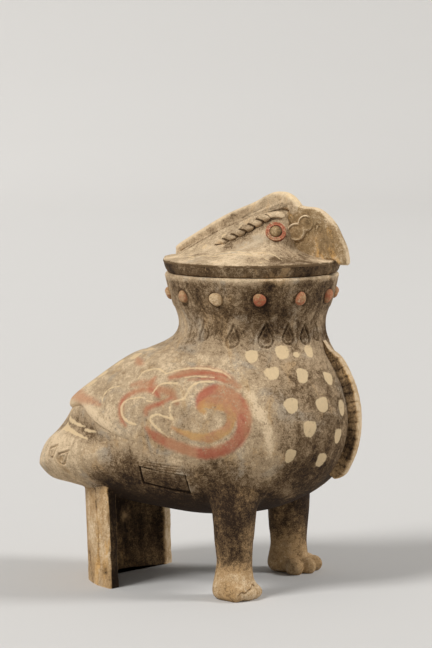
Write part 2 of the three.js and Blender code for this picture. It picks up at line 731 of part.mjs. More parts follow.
// The pieces that come in pairs are drawn on the right, turned over for the left, and then cut to their seat.
const pairs = [
  ["wing", wing(), seatOnBody, clay],
  ["brow_rope", browRope(), seatOnHead, paleClay],
  ["eye_ring", eyeRing(), seatOnHead, redPaint],
  ["eye_pupil", pupil(), seatOnHead, ochre],
  ["cere", cere(), seatOnHead, ochre],
];
for (const [side, sign] of SIDES) {
  place(`leg_${side}`, leg(sign), clay);
  for (const [name, solid, seat, material] of pairs) {
    place(`${name}_${side}`, seat(onSide(solid, sign)), material);
  }
}

// The middle of the footprint goes on the origin.
const extent = new THREE.Box3().setFromObject(model);
model.position.x = -(extent.min.x + extent.max.x) / 2;

export default model;
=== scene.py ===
"""A lidded jar in the form of a standing bird, in painted earthenware.

Sizes are millimetres from the axis of the jar's mouth: +X where the bird faces, +Y its left, +Z up.
Places on the vessel are a level and degrees round it. The level is the share of the body's outline from its
underside, 0, to the neck, 1, and goes on up the collar to the mouth, 2. The degrees start at the chest.
"""

import math
from functools import lru_cache, partial

import bpy
import numpy as np
from bpy.props import FloatProperty, FloatVectorProperty, PointerProperty
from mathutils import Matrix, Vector


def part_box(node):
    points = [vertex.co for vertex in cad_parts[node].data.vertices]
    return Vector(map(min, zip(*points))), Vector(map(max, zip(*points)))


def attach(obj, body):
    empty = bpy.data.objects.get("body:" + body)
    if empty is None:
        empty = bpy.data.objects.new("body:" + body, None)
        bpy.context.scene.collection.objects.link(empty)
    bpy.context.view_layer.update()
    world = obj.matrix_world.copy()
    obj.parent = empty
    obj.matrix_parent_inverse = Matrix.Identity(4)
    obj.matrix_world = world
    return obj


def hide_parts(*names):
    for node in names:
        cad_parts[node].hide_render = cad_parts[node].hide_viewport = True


bl_info = {
    "name": "Bird jar",
    "version": (1, 0, 0),
    "blender": (4, 5, 0),
    "location": "View3D > Sidebar > Bird jar",
    "description": "Dresses a lidded bird jar in modelled and painted clay",
    "category": "Add Mesh",
}

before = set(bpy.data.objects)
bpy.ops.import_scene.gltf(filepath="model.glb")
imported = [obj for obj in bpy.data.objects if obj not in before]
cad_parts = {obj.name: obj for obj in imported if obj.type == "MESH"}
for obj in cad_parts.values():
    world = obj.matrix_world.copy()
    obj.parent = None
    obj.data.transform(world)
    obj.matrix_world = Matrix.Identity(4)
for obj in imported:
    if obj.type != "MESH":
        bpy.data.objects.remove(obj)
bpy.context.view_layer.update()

MM = 0.001
TURN = 2 * math.pi
SIDES = (("right", -1), ("left", 1))


def frame_box(node):
    """The lowest and highest corners of a frame node, in millimetres."""
    return tuple(np.array(corner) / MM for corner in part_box(node))


PLATE_LOW, PLATE_HIGH = frame_box("lid_plate")
MOUTH_X = (PLATE_LOW[0] + PLATE_HIGH[0]) / 2
MOUTH_HEIGHT = PLATE_LOW[2]
PLATE_TOP = PLATE_HIGH[2]

# The body's outlines, as in the frame: level out of the underside, upright at the widest point, sloping at
# the neck.
NECK_RADIUS = 58
NECK_HEIGHT = 192
UNDERSIDE_X = -25
UNDERSIDE_HEIGHT = 55
CHEST = {"reach": 82, "height": 130, "under": 68, "fill": 42, "swell": 30, "pull": 18, "slope": 62}
FLANK = {"reach": 87, "height": 120, "under": 52, "fill": 38, "swell": 30, "pull": 18, "slope": 60}
TAIL = {"reach": 173, "height": 87, "under": 55, "fill": 9, "swell": 28, "pull": 62, "slope": 23}
HOLLOW = {**TAIL, "reach": 165, "fill": 24}
TAIL_SQUARENESS = 0.3
WALL = 8

# The collar's outside as [radius, height], and its bore.
COLLAR_LINE = [(58, 192), (55.8, 198), (55, 204), (58.75, 214), (62.5, 224), (67, 243)]
MOUTH_BORE = 58.5
# From the collar's outside over the lip, as (radius, depth under the mouth), and down the bore, as (radius,
# height).
LIP_LINE = [(66.9, 1.4), (66.4, 0.5), (65.3, 0.05), (62, 0), (MOUTH_BORE + 0.6, 0.2), (MOUTH_BORE, 1.5)]
BORE_LINE = [(MOUTH_BORE, 232), (55, 224), (48.5, 212), (47, 204), (48, 196), (50, 188), (50, 184)]
LEDGE_HEIGHT = 215.5

# Grid sizes of the vessel's outside.
BODY_ROWS = 200
COLLAR_ROWS = 64
COLUMNS = 800
# Level of the joint between body and neck.
NECK_LEVEL = 0.955

# Swells and hollows across the back, as (height, level, width in levels, and the degrees where it starts and
# where it is full).
BACK_SWELLS = [(3, 0.9, 0.06, 105, 150), (1.3, 0.77, 0.08, 118, 150), (-0.8, 0.5, 0.14, 140, 165),
               (2.5, 0.385, 0.05, 135, 165), (-1.5, 0.27, 0.06, 135, 165)]
# The hollow under each wing: its depth, and the painted shade laid in it.
VALLEY_DEPTH = 6
VALLEY_PAINTED_SHADE = 2.5

# Legs as [radius, height], with their lean and toes.
LEG_X = 8.4
LEG_SPREAD = 62
LEG_LEAN = 8
LEG_LINE = [(11.5, 0), (14.8, 2.5), (16, 8), (14, 22), (14.8, 36), (16, 50), (17.6, 70), (17.5, 84),
            (15, 110)]
LEG_SLIMNESS = {"right": 0.92, "left": 1.0}
KNEE_HEIGHT = 50
LEG_ROOT_HEIGHT = 93
LEG_TOP = 108
TOES = 4
TOE_RADIUS = 6.6
TOE_FAN = 39
TOE_REACH = {"right": 11, "left": 17.5}
TOE_BLEND = {"right": 4.5, "left": 2.2}

# The curved slab under the tail.
SUPPORT_RADIUS = 68
SUPPORT_WALL = 10.5
SUPPORT_X = -63.5
SUPPORT_HALF_ANGLE = 65
SUPPORT_LEAN = 2.4
SUPPORT_MIDDLE = SUPPORT_RADIUS - SUPPORT_WALL / 2
SUPPORT_HALF_LENGTH = math.radians(SUPPORT_HALF_ANGLE) * SUPPORT_MIDDLE
# Finger dimples in its outside, as (distance from its end, height, width).
SUPPORT_DIMPLES = [(7, 13, 3), (16, 18, 2.6), (34, 20, 2.6), (52, 23, 2.4)]
# The slab's fillet under the tail, as a share of the legs' fillet.
SUPPORT_FILLET = 0.25

# The strip down the chest, the trough it lies in and the steps between its notches.
FLANGE_WIDTH = 10.5
FLANGE_TROUGH = 2.2
NOTCH_STEP = 6.6
FLANGE_LEVELS = (0.313, 0.99)

WING_ANGLES = (60, 171)
WING_LEVELS = (0.405, 0.93)
WING_TIP_LEVEL = 0.715
WING_CLIMB = (80, 148)
WING_NOSE = 22

# The patch of clay let into the right flank: where its middle is, its tilt, and its corners across and up.
PLUG_PLACE = (96.5, 0.355)
PLUG_TILT = -8
PLUG_CORNERS = [(-21, 8), (-19, -8), (19, -11.5), (17, 8)]

# The head: lines from the nape to the beak, as [x, half width, height over the plate].
HEAD_RADIUS = 67.8
RIDGE = [(-61, 0, 4), (-45, 0, 15), (-31, 0, 24), (-12, 0, 33), (5, 0, 39.5), (22, 0, 42.5), (31, 0, 41),
         (34, 0, 34), (37, 0, 12), (62, 0, 1.6)]
BROW = [(-61, 8, 2.2), (-20, 22, 11), (19, 13, 34), (29.5, 9.5, 33.5), (33.5, 7, 31), (36.5, 5, 10),
        (62, 2, 1.4)]
CHEEK = [(-61, 14, 1.4), (-20, 33, 7), (19, 25, 12.5), (29, 20.5, 12.3), (33, 16, 11.5), (36.5, 10, 9),
         (45, 7.5, 5), (62, 4, 1.2)]
CREST_LINE = [(-62.5, 5.5), (-61, 9.5), (-45, 19.8), (-21, 33.8), (2.5, 44), (12, 49.2), (19.5, 52), (28, 52),
              (33.8, 49.3), (38, 45.2), (40.8, 40.8)]
CREST_SPINE = [(-57, 6), (-45, 14), (-20, 28), (8, 41), (24, 45), (33, 42)]
CREST_WIDTH = 9.5
BEAK_LINE = [(38, 43), (43, 41.4), (53.5, 40.3), (61, 35.9), (68, 28.5), (72.7, 19.6), (76.8, 10.7),
             (78.6, 2)]
BEAK_SPINE = [(44, 8), (44, 30), (56, 26), (65, 10)]
BEAK_WIDTH = 11
CERE_LOWER = (38.2, 22.2, 6.9)
CERE_UPPER = (45.7, 29, 6.3)
BEAK_DOTS = [(47.2, 25.2), (51.6, 24.8), (54.6, 26.6)]
# The strip over the eye: where it starts and ends, where its twisted part stops, and its half turns.
BROW_REACH = (-20, 30)
BROW_TWISTED = 19
BROW_TWISTS = 6.2
EYE_PLACE = (25.5, 22.5)
PUPIL_RADIUS = 4.6
EYE_RING_RADIUS = 7.8

# Feather strokes on the head as (start, end, bow), and its cream spots as (x, y, radius).
HEAD_STROKES = [((-18, 41), (17, 45.5), 6), ((12, 42), (40, 40), 3.5), ((-14, 46), (34, 50), 4),
                ((-40, 36), (-8, 50), 3)]
HEAD_SPOTS = [(-41, 25, 2.2), (-46, 31, 1.8), (-18, 14, 1.9), (-13, 17, 1.8), (-33, 16, 2.1),
              (-34, 41, 2.6), (-26, 22, 1.7), (-50, 20, 1.7), (-5, 12, 1.5), (-30, 50, 2.0)]

# The pellets round the collar, and the numbers of the cream ones.
STUD_COUNT = 12
STUD_RADIUS = 5
STUD_HEIGHT = 3.6
STUD_LEVEL = 227
STUD_START = -5
CREAM_STUDS = (4, 10)
STUD_ANGLES = [math.radians(STUD_START + 360 * i / STUD_COUNT) for i in range(STUD_COUNT)]
# The neck's radius at the stamps and at the studs, for distances round it.
STAMP_RING_RADIUS = 57
STUD_RING_RADIUS = 63

# Teardrop stamps on the neck as (degrees, height, width, length), right side; the left repeats them.
NECK_STAMPS = [(109, 202, 9.6, 17), (84, 198.5, 11.4, 18), (59, 199.5, 13, 20), (41, 200, 10.8, 17.5),
               (25, 199, 10.8, 17), (11, 200, 9.6, 15)]
# Teardrop stamps beside the tail's tip as (degrees, level, width, length), and how far they lean forward.
TAIL_STAMPS = [(133.5, 0.482, 10.4, 19), (141, 0.528, 9.6, 17)]
TAIL_STAMP_LEAN = 52

# Painted strokes on the right side, as places (degrees, level, width of the stroke there).
SCALLOPS = [
    [(116.5, 0.785, 1), (118, 0.818, 1.4), (115, 0.83, 1.6), (111, 0.83, 1.4), (105.5, 0.806, 1.2)],
    [(105.5, 0.806, 1.2), (102.5, 0.824, 1.4), (99, 0.836, 1.6), (95, 0.842, 1.7), (91, 0.84, 1.6),
     (84.5, 0.83, 1.4), (80, 0.816, 1), (76, 0.79, 0.6)],
    [(93, 0.687, 1.3), (93, 0.711, 1.5), (93, 0.741, 1.7), (92, 0.762, 1.7), (90, 0.772, 1.6),
     (85, 0.774, 1.4)],
    [(104, 0.713, 1), (104, 0.729, 1.2), (104, 0.749, 1.6), (102, 0.758, 1.5), (98, 0.76, 1)],
    [(122, 0.68, 1), (124.5, 0.707, 1.4), (126, 0.733, 1.4), (125, 0.749, 1.1), (122, 0.754, 0.8)],
    [(102, 0.671, 0.8), (104, 0.677, 1), (107, 0.693, 1), (110.5, 0.689, 1.1), (112, 0.68, 1.4),
     (112, 0.657, 1.9), (110.5, 0.63, 2.1), (109, 0.607, 2), (106.5, 0.587, 1.8), (104, 0.575, 1.4)],
    [(93, 0.687, 1.6), (95, 0.677, 1.3), (96, 0.669, 1.2), (96, 0.653, 1.2), (95, 0.62, 1.4),
     (94, 0.597, 1.6)],
    [(94, 0.597, 1.4), (96, 0.607, 1.4), (98, 0.615, 1.6), (99.3, 0.615, 1.7), (100, 0.6, 1.9),
     (99, 0.58, 1.9), (97, 0.555, 1.8), (95.5, 0.54, 1.4), (94, 0.525, 1)],
    [(97, 0.788, 0.7), (93, 0.798, 1), (86, 0.796, 0.8)],
]
RED_BANDS = [
    [(100.5, 0.561, 3), (98, 0.53, 6.5), (95, 0.509, 8), (92, 0.49, 8.5), (88, 0.476, 8.5),
     (81.5, 0.471, 9), (75, 0.481, 9), (70, 0.5, 9), (67, 0.54, 10), (66.5, 0.595, 11.5),
     (68.5, 0.65, 11.5), (72.5, 0.697, 10.5), (77.5, 0.726, 9.5), (82.5, 0.736, 9), (86, 0.72, 9),
     (88, 0.698, 9), (88, 0.665, 6)],
    [(107.5, 0.575, 1.5), (109.5, 0.6, 3.5), (111.5, 0.64, 4.5), (113.5, 0.687, 4.5), (112.5, 0.713, 4.5),
     (109.5, 0.728, 4), (105.5, 0.725, 4), (102.5, 0.71, 4.5), (100.5, 0.69, 2)],
    [(102, 0.62, 3.5), (102.5, 0.64, 4.5), (101, 0.655, 3.5), (99, 0.668, 3.5), (97, 0.69, 2)],
    [(102, 0.786, 1.5), (96, 0.808, 2), (90, 0.82, 2.2), (79.5, 0.81, 1.5)],
    [(95, 0.778, 1), (85.5, 0.794, 2), (78, 0.775, 1.5)],
    [(109, 0.79, 2), (108.5, 0.77, 5), (107.5, 0.755, 3)],
]
ORANGE_BANDS = [
    [(160, 0.745, 10), (148, 0.737, 9), (140, 0.722, 7.5), (130.5, 0.701, 5), (122.5, 0.675, 2.5)],
    [(138, 0.883, 2), (131, 0.868, 6), (126, 0.856, 3)],
    [(102.5, 0.79, 4), (98, 0.816, 7), (93, 0.826, 8), (86, 0.818, 8), (78, 0.79, 7), (72, 0.752, 4)],
    [(116, 0.755, 3), (111, 0.76, 6), (104, 0.735, 5), (98, 0.713, 6), (94.5, 0.67, 3)],
]
OCHRE_BANDS = [
    [(93.5, 0.564, 2), (91, 0.546, 4), (88, 0.533, 5.5), (83, 0.527, 6.5), (79, 0.533, 7), (75, 0.551, 7),
     (72.7, 0.58, 6.5), (72.3, 0.615, 7), (74, 0.65, 8.5), (78, 0.67, 9.5), (82, 0.674, 9.5),
     (85.5, 0.667, 8), (87.2, 0.65, 5), (85, 0.635, 4)],
]
# Cream spots as (degrees, level, width, height, turn): on the chest, and along the back.
CHEST_SPOTS = [(68, 0.924, 9.5, 10, 5), (47, 0.946, 10.5, 11, -8), (36.5, 0.924, 6, 4, 0),
               (25, 0.938, 8, 10, 0), (54, 0.816, 10.8, 10, 12), (35.5, 0.788, 9.5, 12, -14),
               (16.5, 0.749, 9.5, 10, -12), (44, 0.639, 11, 11.5, 8), (26, 0.617, 11.5, 11.5, 10),
               (11, 0.579, 8.5, 12, 0), (34.5, 0.519, 11, 12.5, -5), (15.5, 0.471, 8.5, 11, -8),
               (44, 0.437, 8, 10.5, -12), (25, 0.401, 10, 11.5, -18)]
BACK_SPOTS = [(147, 0.93, 12, 7, 10), (143, 0.89, 11, 8, 20), (152, 0.86, 12, 8, 10), (152, 0.816, 12, 8, 15),
              (149, 0.778, 13, 8, 20)]
CREAM_BANDS = [
    [(154, 0.66, 7), (146, 0.638, 6), (137, 0.61, 4.2), (130, 0.578, 2.4), (123, 0.541, 1.4)],
    [(156, 0.688, 3.4), (145, 0.664, 3), (137.5, 0.642, 2.2), (130, 0.617, 1.4)],
    [(128.5, 0.6, 1.4), (124.5, 0.583, 2), (120.5, 0.57, 1.2)],
]
# A painted highlight down the proud front edge of each wing, where it faces the light.
NOSE_LIGHT = [(66, 0.715, 2), (62.5, 0.67, 5), (59.5, 0.62, 6), (57, 0.565, 4), (55, 0.51, 3), (54, 0.45, 1)]
PIT_PLACE = (131, 0.818)
# Two short scratches on the chest, as (degrees, level, width).
SCRATCHES = [
    [(45.5, 0.806, 0.7), (43, 0.78, 1), (40.5, 0.75, 0.6)],
    [(43.5, 0.8, 0.5), (41.5, 0.78, 0.8), (39.5, 0.762, 0.5)],
]
# The crack across the broken right paw, as (degrees round the leg from the front, height).
PAW_CRACK = [(-66, 5), (-50, 7), (-34, 8), (-22, 11), (-8, 11.5)]


def length_property(name, description, size, least=0):
    """A length, with its default and its least value in millimetres."""
    return FloatProperty(
        name=name, description=description, default=size * MM, min=least * MM, unit="LENGTH")


class JarSizes(bpy.types.PropertyGroup):
    """Sizes of the finish that a user may change."""

    wing_relief: length_property("Wing relief", "How proud the wings stand", 5)
    flange_relief: length_property("Flange relief", "How proud the chest flange stands", 6.4)
    stamp_depth: length_property("Stamp depth", "Depth of the teardrop stamps", 1.1)
    line_relief: length_property("Line relief", "How proud the scalloped lines stand", 0.35)
    crack_width: length_property("Crack width", "Crack round the patch in the flank", 0.9)
    unevenness: length_property("Unevenness", "How far the hand-built walls wander", 0.55)
    fillet: length_property("Fillet", "Width of the smoothed clay where legs meet the belly", 11, least=1)


def colour_property(name, description, red, green, blue):
    """A colour as it shows on a screen, from 0 to 255 a channel."""
    return FloatVectorProperty(
        name=name, description=description, subtype="COLOR_GAMMA", size=3, min=0, max=1,
        default=(red / 255, green / 255, blue / 255))


class JarColours(bpy.types.PropertyGroup):
    """Colours of the clays and paints."""

    clay: colour_property("Clay", "The body's fired clay", 168, 145, 115)
    # The pale tone also shows the painted highlights.
    pale: colour_property("Pale clay", "Dusty, worn clay", 214, 190, 156)
    sand: colour_property("Sand", "Warmer clay of the legs and the slab under the tail", 174, 142, 101)
    # The dark tone also shows the painted shade under the belly and in hollows.
    dark: colour_property("Dark clay", "Smoked clay in the shade of the belly", 96, 75, 51)
    # The darkest tone is mostly painted shade in the deepest hollows, with the darkest mottles.
    darkest_clay_and_shade: colour_property("Darkest clay and shade", "The darkest hollows", 42, 28, 16)
    ochre: colour_property("Ochre", "Yellow earth paint and stains", 199, 156, 96)
    red: colour_property("Red", "Faded red paint", 176, 88, 66)
    tan: colour_property("Tan", "Red paint worn thin", 184, 128, 94)
    cream: colour_property("Cream", "Cream slip", 228, 203, 162)
    olive: colour_property("Olive", "The stained beak", 148, 122, 86)
    grey: colour_property("Grey dust", "Cool dust on the clay", 158, 149, 134)
    floor: colour_property("Floor", "The studio floor and wall", 196, 194, 191)


def jar_size(name):
    """One of the sizes of the finish, in millimetres."""
    return getattr(bpy.context.scene.jar_sizes, name) / MM


# Arrays


def mix(a, b, share):
    """From a to b by a share."""
    return a + (b - a) * share


def ramp(low, high, value):
    """0 below low, 1 above high, and a smooth rise between them."""
    share = np.clip((np.asarray(value, float) - low) / (high - low), 0, 1)
    return share * share * (3 - 2 * share)


def hump(value, width):
    """1 where value is 0, falling off like a bell of that width."""
    return np.exp(-((np.asarray(value, float) / width) ** 2))


def round_angles(columns):
    """Equal steps once round, from 0."""
    return TURN * np.arange(columns) / columns


def apart(angle, other):
    """How far round one angle is from another, between minus and plus half a turn."""
    return (angle - other + math.pi) % TURN - math.pi


def unit(vectors):
    """Vectors at length 1."""
    return vectors / np.maximum(np.linalg.norm(vectors, axis=-1, keepdims=True), 1e-9)


def soft_min(a, b, width):
    """The smaller of two distances, rounded where they differ by less than width."""
    h = np.maximum(width - np.abs(a - b), 0) / width
    return np.minimum(a, b) - h * h * width / 4


def cloud(points, size, seed):
    """Random heights at the corners of cubes of that size, joined smoothly: from -1 to 1 at each point."""
    table = np.random.default_rng(seed).uniform(-1, 1, (32, 32, 32))
    place = np.asarray(points, float) / size
    cell = np.floor(place).astype(int)
    share = place - cell
    share = share * share * (3 - 2 * share)
    total = np.zeros(place.shape[:-1])
    for corner in np.ndindex(2, 2, 2):
        weight = np.prod(np.where(corner, share, 1 - share), axis=-1)
        i, j, k = np.moveaxis((cell + corner) % 32, -1, 0)
        total += weight * table[i, j, k]
    return total


def uneven(points, size=1.0, seed=1):
    """The wander of a hand-built wall: broad, middling and small swells added up."""
    return (0.62 * cloud(points, 34 * size, seed) + 0.28 * cloud(points, 13 * size, seed + 1)
            + 0.1 * cloud(points, 5 * size, seed + 2))


def curve_through(points, count):
    """A smooth curve through the points: on each stretch a cubic whose slopes run between the neighbours."""
    p = np.asarray(points, float)
    p = np.vstack([2 * p[0] - p[1], p, 2 * p[-1] - p[-2]])
    place = np.linspace(0, len(p) - 3, count)
    i = np.minimum(place.astype(int), len(p) - 4)
    s = (place - i)[:, None]
    a, b, c, d = p[i], p[i + 1], p[i + 2], p[i + 3]
    return b + 0.5 * s * (c - a + s * (2 * a - 5 * b + 4 * c - d + s * (3 * b - a - 3 * c + d)))


def even_steps(line, count):
    """The line again, at equal steps along its length."""
    steps = np.linalg.norm(np.diff(line, axis=0), axis=1)
    along = np.concatenate([[0], np.cumsum(steps)])
    wanted = np.linspace(0, along[-1], count)
    return np.stack([np.interp(wanted, along, line[:, k]) for k in range(line.shape[1])], -1)


def eased(grid, times, weight=1.0):
    """Each point moved half way to the middle of the rows beside it, a number of times, where weight is 1."""
    for _ in range(times):
        grid[1:-1] += 0.5 * weight * (0.5 * (grid[:-2] + grid[2:]) - grid[1:-1])
    return grid


def nearest(points, others, block=2000):
    """The distance from each point to the closest of the others, and which one that is."""
    distance, index = np.empty(len(points)), np.empty(len(points), int)
    size = (others ** 2).sum(1)
    for start in range(0, len(points), block):
        part = points[start:start + block]
        square = (part ** 2).sum(1)[:, None] + size - 2 * part @ others.T
        found = square.argmin(1)
        index[start:start + block] = found
        distance[start:start + block] = np.sqrt(np.maximum(square[np.arange(len(part)), found], 0))
    return distance, index


# Meshes


def quads_of(rows, columns, wrap_rows=False, wrap_columns=False):
    """The faces of a grid of points, row by row, joined end to end where it wraps."""
    r, c = np.meshgrid(
        np.arange(rows - (not wrap_rows)), np.arange(columns - (not wrap_columns)), indexing="ij")
    below, right = (r + 1) % rows, (c + 1) % columns
    corners = [r * columns + c, r * columns + right, below * columns + right, below * columns + c]
    return np.stack(corners, -1).reshape(-1, 4).tolist()


def piece(name, points, faces, body, finish_name, marks, replaces=(), flipped=False, sharp=50):
    """A closed mesh from points in millimetres, with smooth faces, its finish and the slot that goes with it,
    and its marks kept as point values."""
    mesh = bpy.data.meshes.new(name)
    metres = (np.asarray(points, float).reshape(-1, 3) + [MOUTH_X, 0, 0]) * MM
    mesh.from_pydata(metres.tolist(), [], [face[::-1] for face in faces] if flipped else faces)
    mesh.shade_smooth()
    mesh.set_sharp_from_angle(angle=math.radians(sharp))
    for key, values in marks.items():
        attribute = mesh.attributes.new(key, "FLOAT", "POINT")
        full = np.broadcast_to(np.asarray(values, float), (len(metres),))
        attribute.data.foreach_set("value", full.astype(np.float32))
    mesh.materials.append(finish(finish_name))
    thing = bpy.data.objects.new(name, mesh)
    bpy.context.scene.collection.objects.link(thing)
    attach(thing, body)
    if replaces:
        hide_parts(*replaces)


def tube_faces(rows, columns):
    """Faces of rings joined into a tube, with a fan over each end round the two points added last."""
    around = np.arange(columns)
    after = (around + 1) % columns
    first, last = rows * columns, rows * columns + 1
    top = (rows - 1) * columns
    fans = np.concatenate([
        np.stack([np.full(columns, first), after, around], -1),
        np.stack([np.full(columns, last), top + around, top + after], -1)])
    return quads_of(rows, columns, wrap_columns=True) + fans.tolist()


def with_tips(rings):
    """The points of the rings, then the middles of the first and the last."""
    return np.concatenate([rings.reshape(-1, 3), rings[0].mean(0)[None], rings[-1].mean(0)[None]])


def slab_faces(rows, columns):
    """Faces of a slab between two grids of points, the front one first, closed round its border."""
    front = np.array(quads_of(rows, columns))
    back = front[:, ::-1] + rows * columns
    edge = np.concatenate([
        np.arange(columns - 1), np.arange(rows - 1) * columns + columns - 1,
        rows * columns - 1 - np.arange(columns - 1), (rows - 1 - np.arange(rows - 1)) * columns])
    after = np.roll(edge, -1)
    wall = np.stack([after, edge, edge + rows * columns, after + rows * columns], -1)
    return front.tolist() + back.tolist() + wall.tolist()


def tube(name, rings, shade, tips, body, finish_name, flipped=False, **marks):
    """A piece of rings joined into a tube, with a fan over each end. The two tips have their own shades."""
    marks = {"shade": np.append(shade.ravel(), tips), **marks}
    piece(name, with_tips(rings), tube_faces(*rings.shape[:2]), body, finish_name, marks, [name], flipped)


def torus(name, rings, shade, body, finish_name, flipped=False, sharp=50):
    """A piece of rings joined into a tube whose last ring meets its first."""
    faces = quads_of(*rings.shape[:2], wrap_rows=True, wrap_columns=True)
    piece(name, rings, faces, body, finish_name, {"shade": shade.ravel()}, [name], flipped, sharp)


def slab(name, front, back, marks, replaces=(), flipped=False):
    """A piece of the vessel's skin between two grids of points, with the front's marks on both."""
    marks = {key: np.tile(values.ravel(), 2) for key, values in marks.items()}
    piece(name, np.stack([front, back]), slab_faces(*front.shape[:2]), "vessel", "painted clay", marks,
          replaces, flipped)


def turned_rings(profile, angle):
    """Circles round the mouth's axis, one for each radius and height of the profile."""
    radius, height = np.array(profile, float).T[..., None]
    return np.stack([radius * np.cos(angle), radius * np.sin(angle), height + 0 * angle], -1)


# The vessel's outside


def outline(form, start, share):
    """One outline: a cubic from the underside to the widest point, and a second from there to the neck."""
    slope = math.radians(form["slope"])
    reach, height = form["reach"], form["height"]
    low = [(start, UNDERSIDE_HEIGHT), (start + form["under"], UNDERSIDE_HEIGHT),
           (reach, height - form["fill"]), (reach, height)]
    high = [(reach, height), (reach, height + form["swell"]),
            (NECK_RADIUS + form["pull"] * math.cos(slope), NECK_HEIGHT - form["pull"] * math.sin(slope)),
            (NECK_RADIUS, NECK_HEIGHT)]

    def cubic(knots, s):
        a, b, c, d = np.asarray(knots, float)
        s = np.clip(s, 0, 1)[..., None]
        return a * (1 - s) ** 3 + 3 * b * s * (1 - s) ** 2 + 3 * c * s * s * (1 - s) + d * s ** 3

    share = np.asarray(share, float)
    return np.where((share < 0.5)[..., None], cubic(low, 2 * share), cubic(high, 2 * share - 1))


def body_surface(share, angle, tail=TAIL):
    """Rings of the three outlines: an ellipse in front and a squarer oval behind, its height blended between
    the chest's or tail's outline and the flank's by the square of the sine."""
    share, angle = np.broadcast_arrays(np.asarray(share, float), np.asarray(angle, float))
    chest, flank = outline(CHEST, UNDERSIDE_X, share), outline(FLANK, 0, share)
    hind = outline(tail, -UNDERSIDE_X, share)
    centre = UNDERSIDE_X * (1 - share * share)
    along, across = np.cos(angle), np.sin(angle)
    front = along >= 0
    power = np.where(front, 1, 2 / (2 + TAIL_SQUARENESS * np.sin(np.pi * share)))
    reach = np.where(front, chest[..., 0] - centre, -hind[..., 0] - centre)
    height = np.where(front, chest[..., 1], hind[..., 1])
    return np.stack([
        centre + reach * np.abs(along) ** power,
        flank[..., 0] * np.sign(across) * np.abs(across) ** power,
        flank[..., 1] * across ** 2 + height * along ** 2], -1)


def normals_of(grid):
    """Outward directions of a grid that is closed round its columns: the cross of its two slopes."""
    around = np.roll(grid, -1, 1) - np.roll(grid, 1, 1)
    up = np.empty_like(grid)
    up[1:-1] = grid[2:] - grid[:-2]
    up[0], up[-1] = grid[1] - grid[0], grid[-1] - grid[-2]
    return unit(np.cross(around, up))


def wing_low(degrees):
    """The level of a wing's lower edge: low behind the leg and climbing to the tip."""
    return mix(WING_LEVELS[0], WING_TIP_LEVEL, ramp(*WING_CLIMB, degrees))


def side_degrees(angle):
    """Degrees from the chest, the same on both sides."""
    turned = np.degrees(angle) % 360
    return np.minimum(turned, 360 - turned)


@lru_cache(maxsize=None)
def vessel():
    """Points and directions of the whole outside: the body's rings, then the collar's circles, with the
    corner between them eased, a valley under each wing and the unevenness of hand building."""
    share = np.linspace(0, 1, BODY_ROWS + 1)[:, None]
    angle = round_angles(COLUMNS)[None]
    line = curve_through(COLLAR_LINE, 60)
    height = np.linspace(NECK_HEIGHT, MOUTH_HEIGHT, COLLAR_ROWS + 1)[1:, None]
    radius = np.interp(height, line[:, 1], line[:, 0])
    collar = np.stack([radius * np.cos(angle), radius * np.sin(angle), height + 0 * angle], -1)
    grid = np.vstack([body_surface(share, angle), collar])
    rows = np.arange(len(grid))[1:-1, None, None]
    grid = eased(grid, 150, ramp(36, 12, np.abs(rows - BODY_ROWS)))
    degrees = side_degrees(angle)
    out = jar_size("unevenness") * uneven(grid)
    body = out[:BODY_ROWS + 1]
    for height, level, width, start, end in BACK_SWELLS:
        body += height * hump(share - level, width) * ramp(start, end, degrees)
    trough = FLANGE_TROUGH * hump(degrees, 9) * ramp(1, 0.9, share)
    body -= VALLEY_DEPTH * valley_share(share, degrees) + trough
    out += 0.5 * ramp(LEDGE_HEIGHT, LEDGE_HEIGHT + 1.8, grid[..., 2] + 1.4 * cloud(grid, 30, 9))
    out *= ramp(0, 12, np.arange(len(grid))[:, None])
    grid = grid + normals_of(grid) * out[..., None]
    return grid, normals_of(grid)


def valley_share(level, degrees):
    """How much of the hollow under a wing's lower edge a place has, from 0 to 1."""
    low = wing_low(np.minimum(degrees, WING_ANGLES[1]))
    return ramp(98, 130, degrees) * ramp(185, 158, degrees) * hump(level - (low - 0.05), 0.045)


def sample(grid, level, angle):
    """Between the points of the vessel's grid, with cubic weights on the four rows and columns beside."""
    level, angle = np.broadcast_arrays(np.asarray(level, float), np.asarray(angle, float))
    row = np.where(level <= 1, level * BODY_ROWS, BODY_ROWS + (level - 1) * COLLAR_ROWS)
    column = angle / TURN * COLUMNS
    r, c = np.floor(row).astype(int), np.floor(column).astype(int)

    def weights(s):
        return (0.5 * s * (s * (2 - s) - 1), 0.5 * (s * s * (3 * s - 5) + 2),
                0.5 * s * (s * (4 - 3 * s) + 1), 0.5 * s * s * (s - 1))

    total = 0
    for i, up in enumerate(weights(row - r)):
        for j, across in enumerate(weights(column - c)):
            at = grid[np.clip(r + i - 1, 0, len(grid) - 1), (c + j - 1) % COLUMNS]
            total = total + (up * across)[..., None] * at
    return total


def on_vessel(level, angle):
    """Points and outward directions of the vessel at those places."""
    points, directions = vessel()
    return sample(points, level, angle), unit(sample(directions, level, angle))


def placed(degrees, level, sign):
    """One place on a side of the vessel: the point, outward, round towards the tail, and up."""
    angle = sign * math.radians(degrees)
    point, out = on_vessel(level, angle)
    rise = np.array([0, 0, 1.0])
    back = sign * np.cross(rise, out)
    back = back / np.linalg.norm(back)
    return point, out, back, sign * np.cross(out, back)


# Marks on the clay

# A distance from the nearest paint that leaves the clay bare.
UNPAINTED = 50.0


def teardrop(across, up, width, length):
    """Distance outside a teardrop's edge: a circle below, joined by its tangents to a tip above."""
    radius, tip = width / 2, 0.4
    run = length - radius - tip
    across, up = np.abs(across), up + length / 2 - radius
    slope = (radius - tip) / run
    level = math.sqrt(1 - slope * slope)
    along = level * up - slope * across
    side = across * level + up * slope - radius
    return np.where(along < 0, np.hypot(across, up) - radius,
                    np.where(along > level * run, np.hypot(across, up - run) - tip, side))


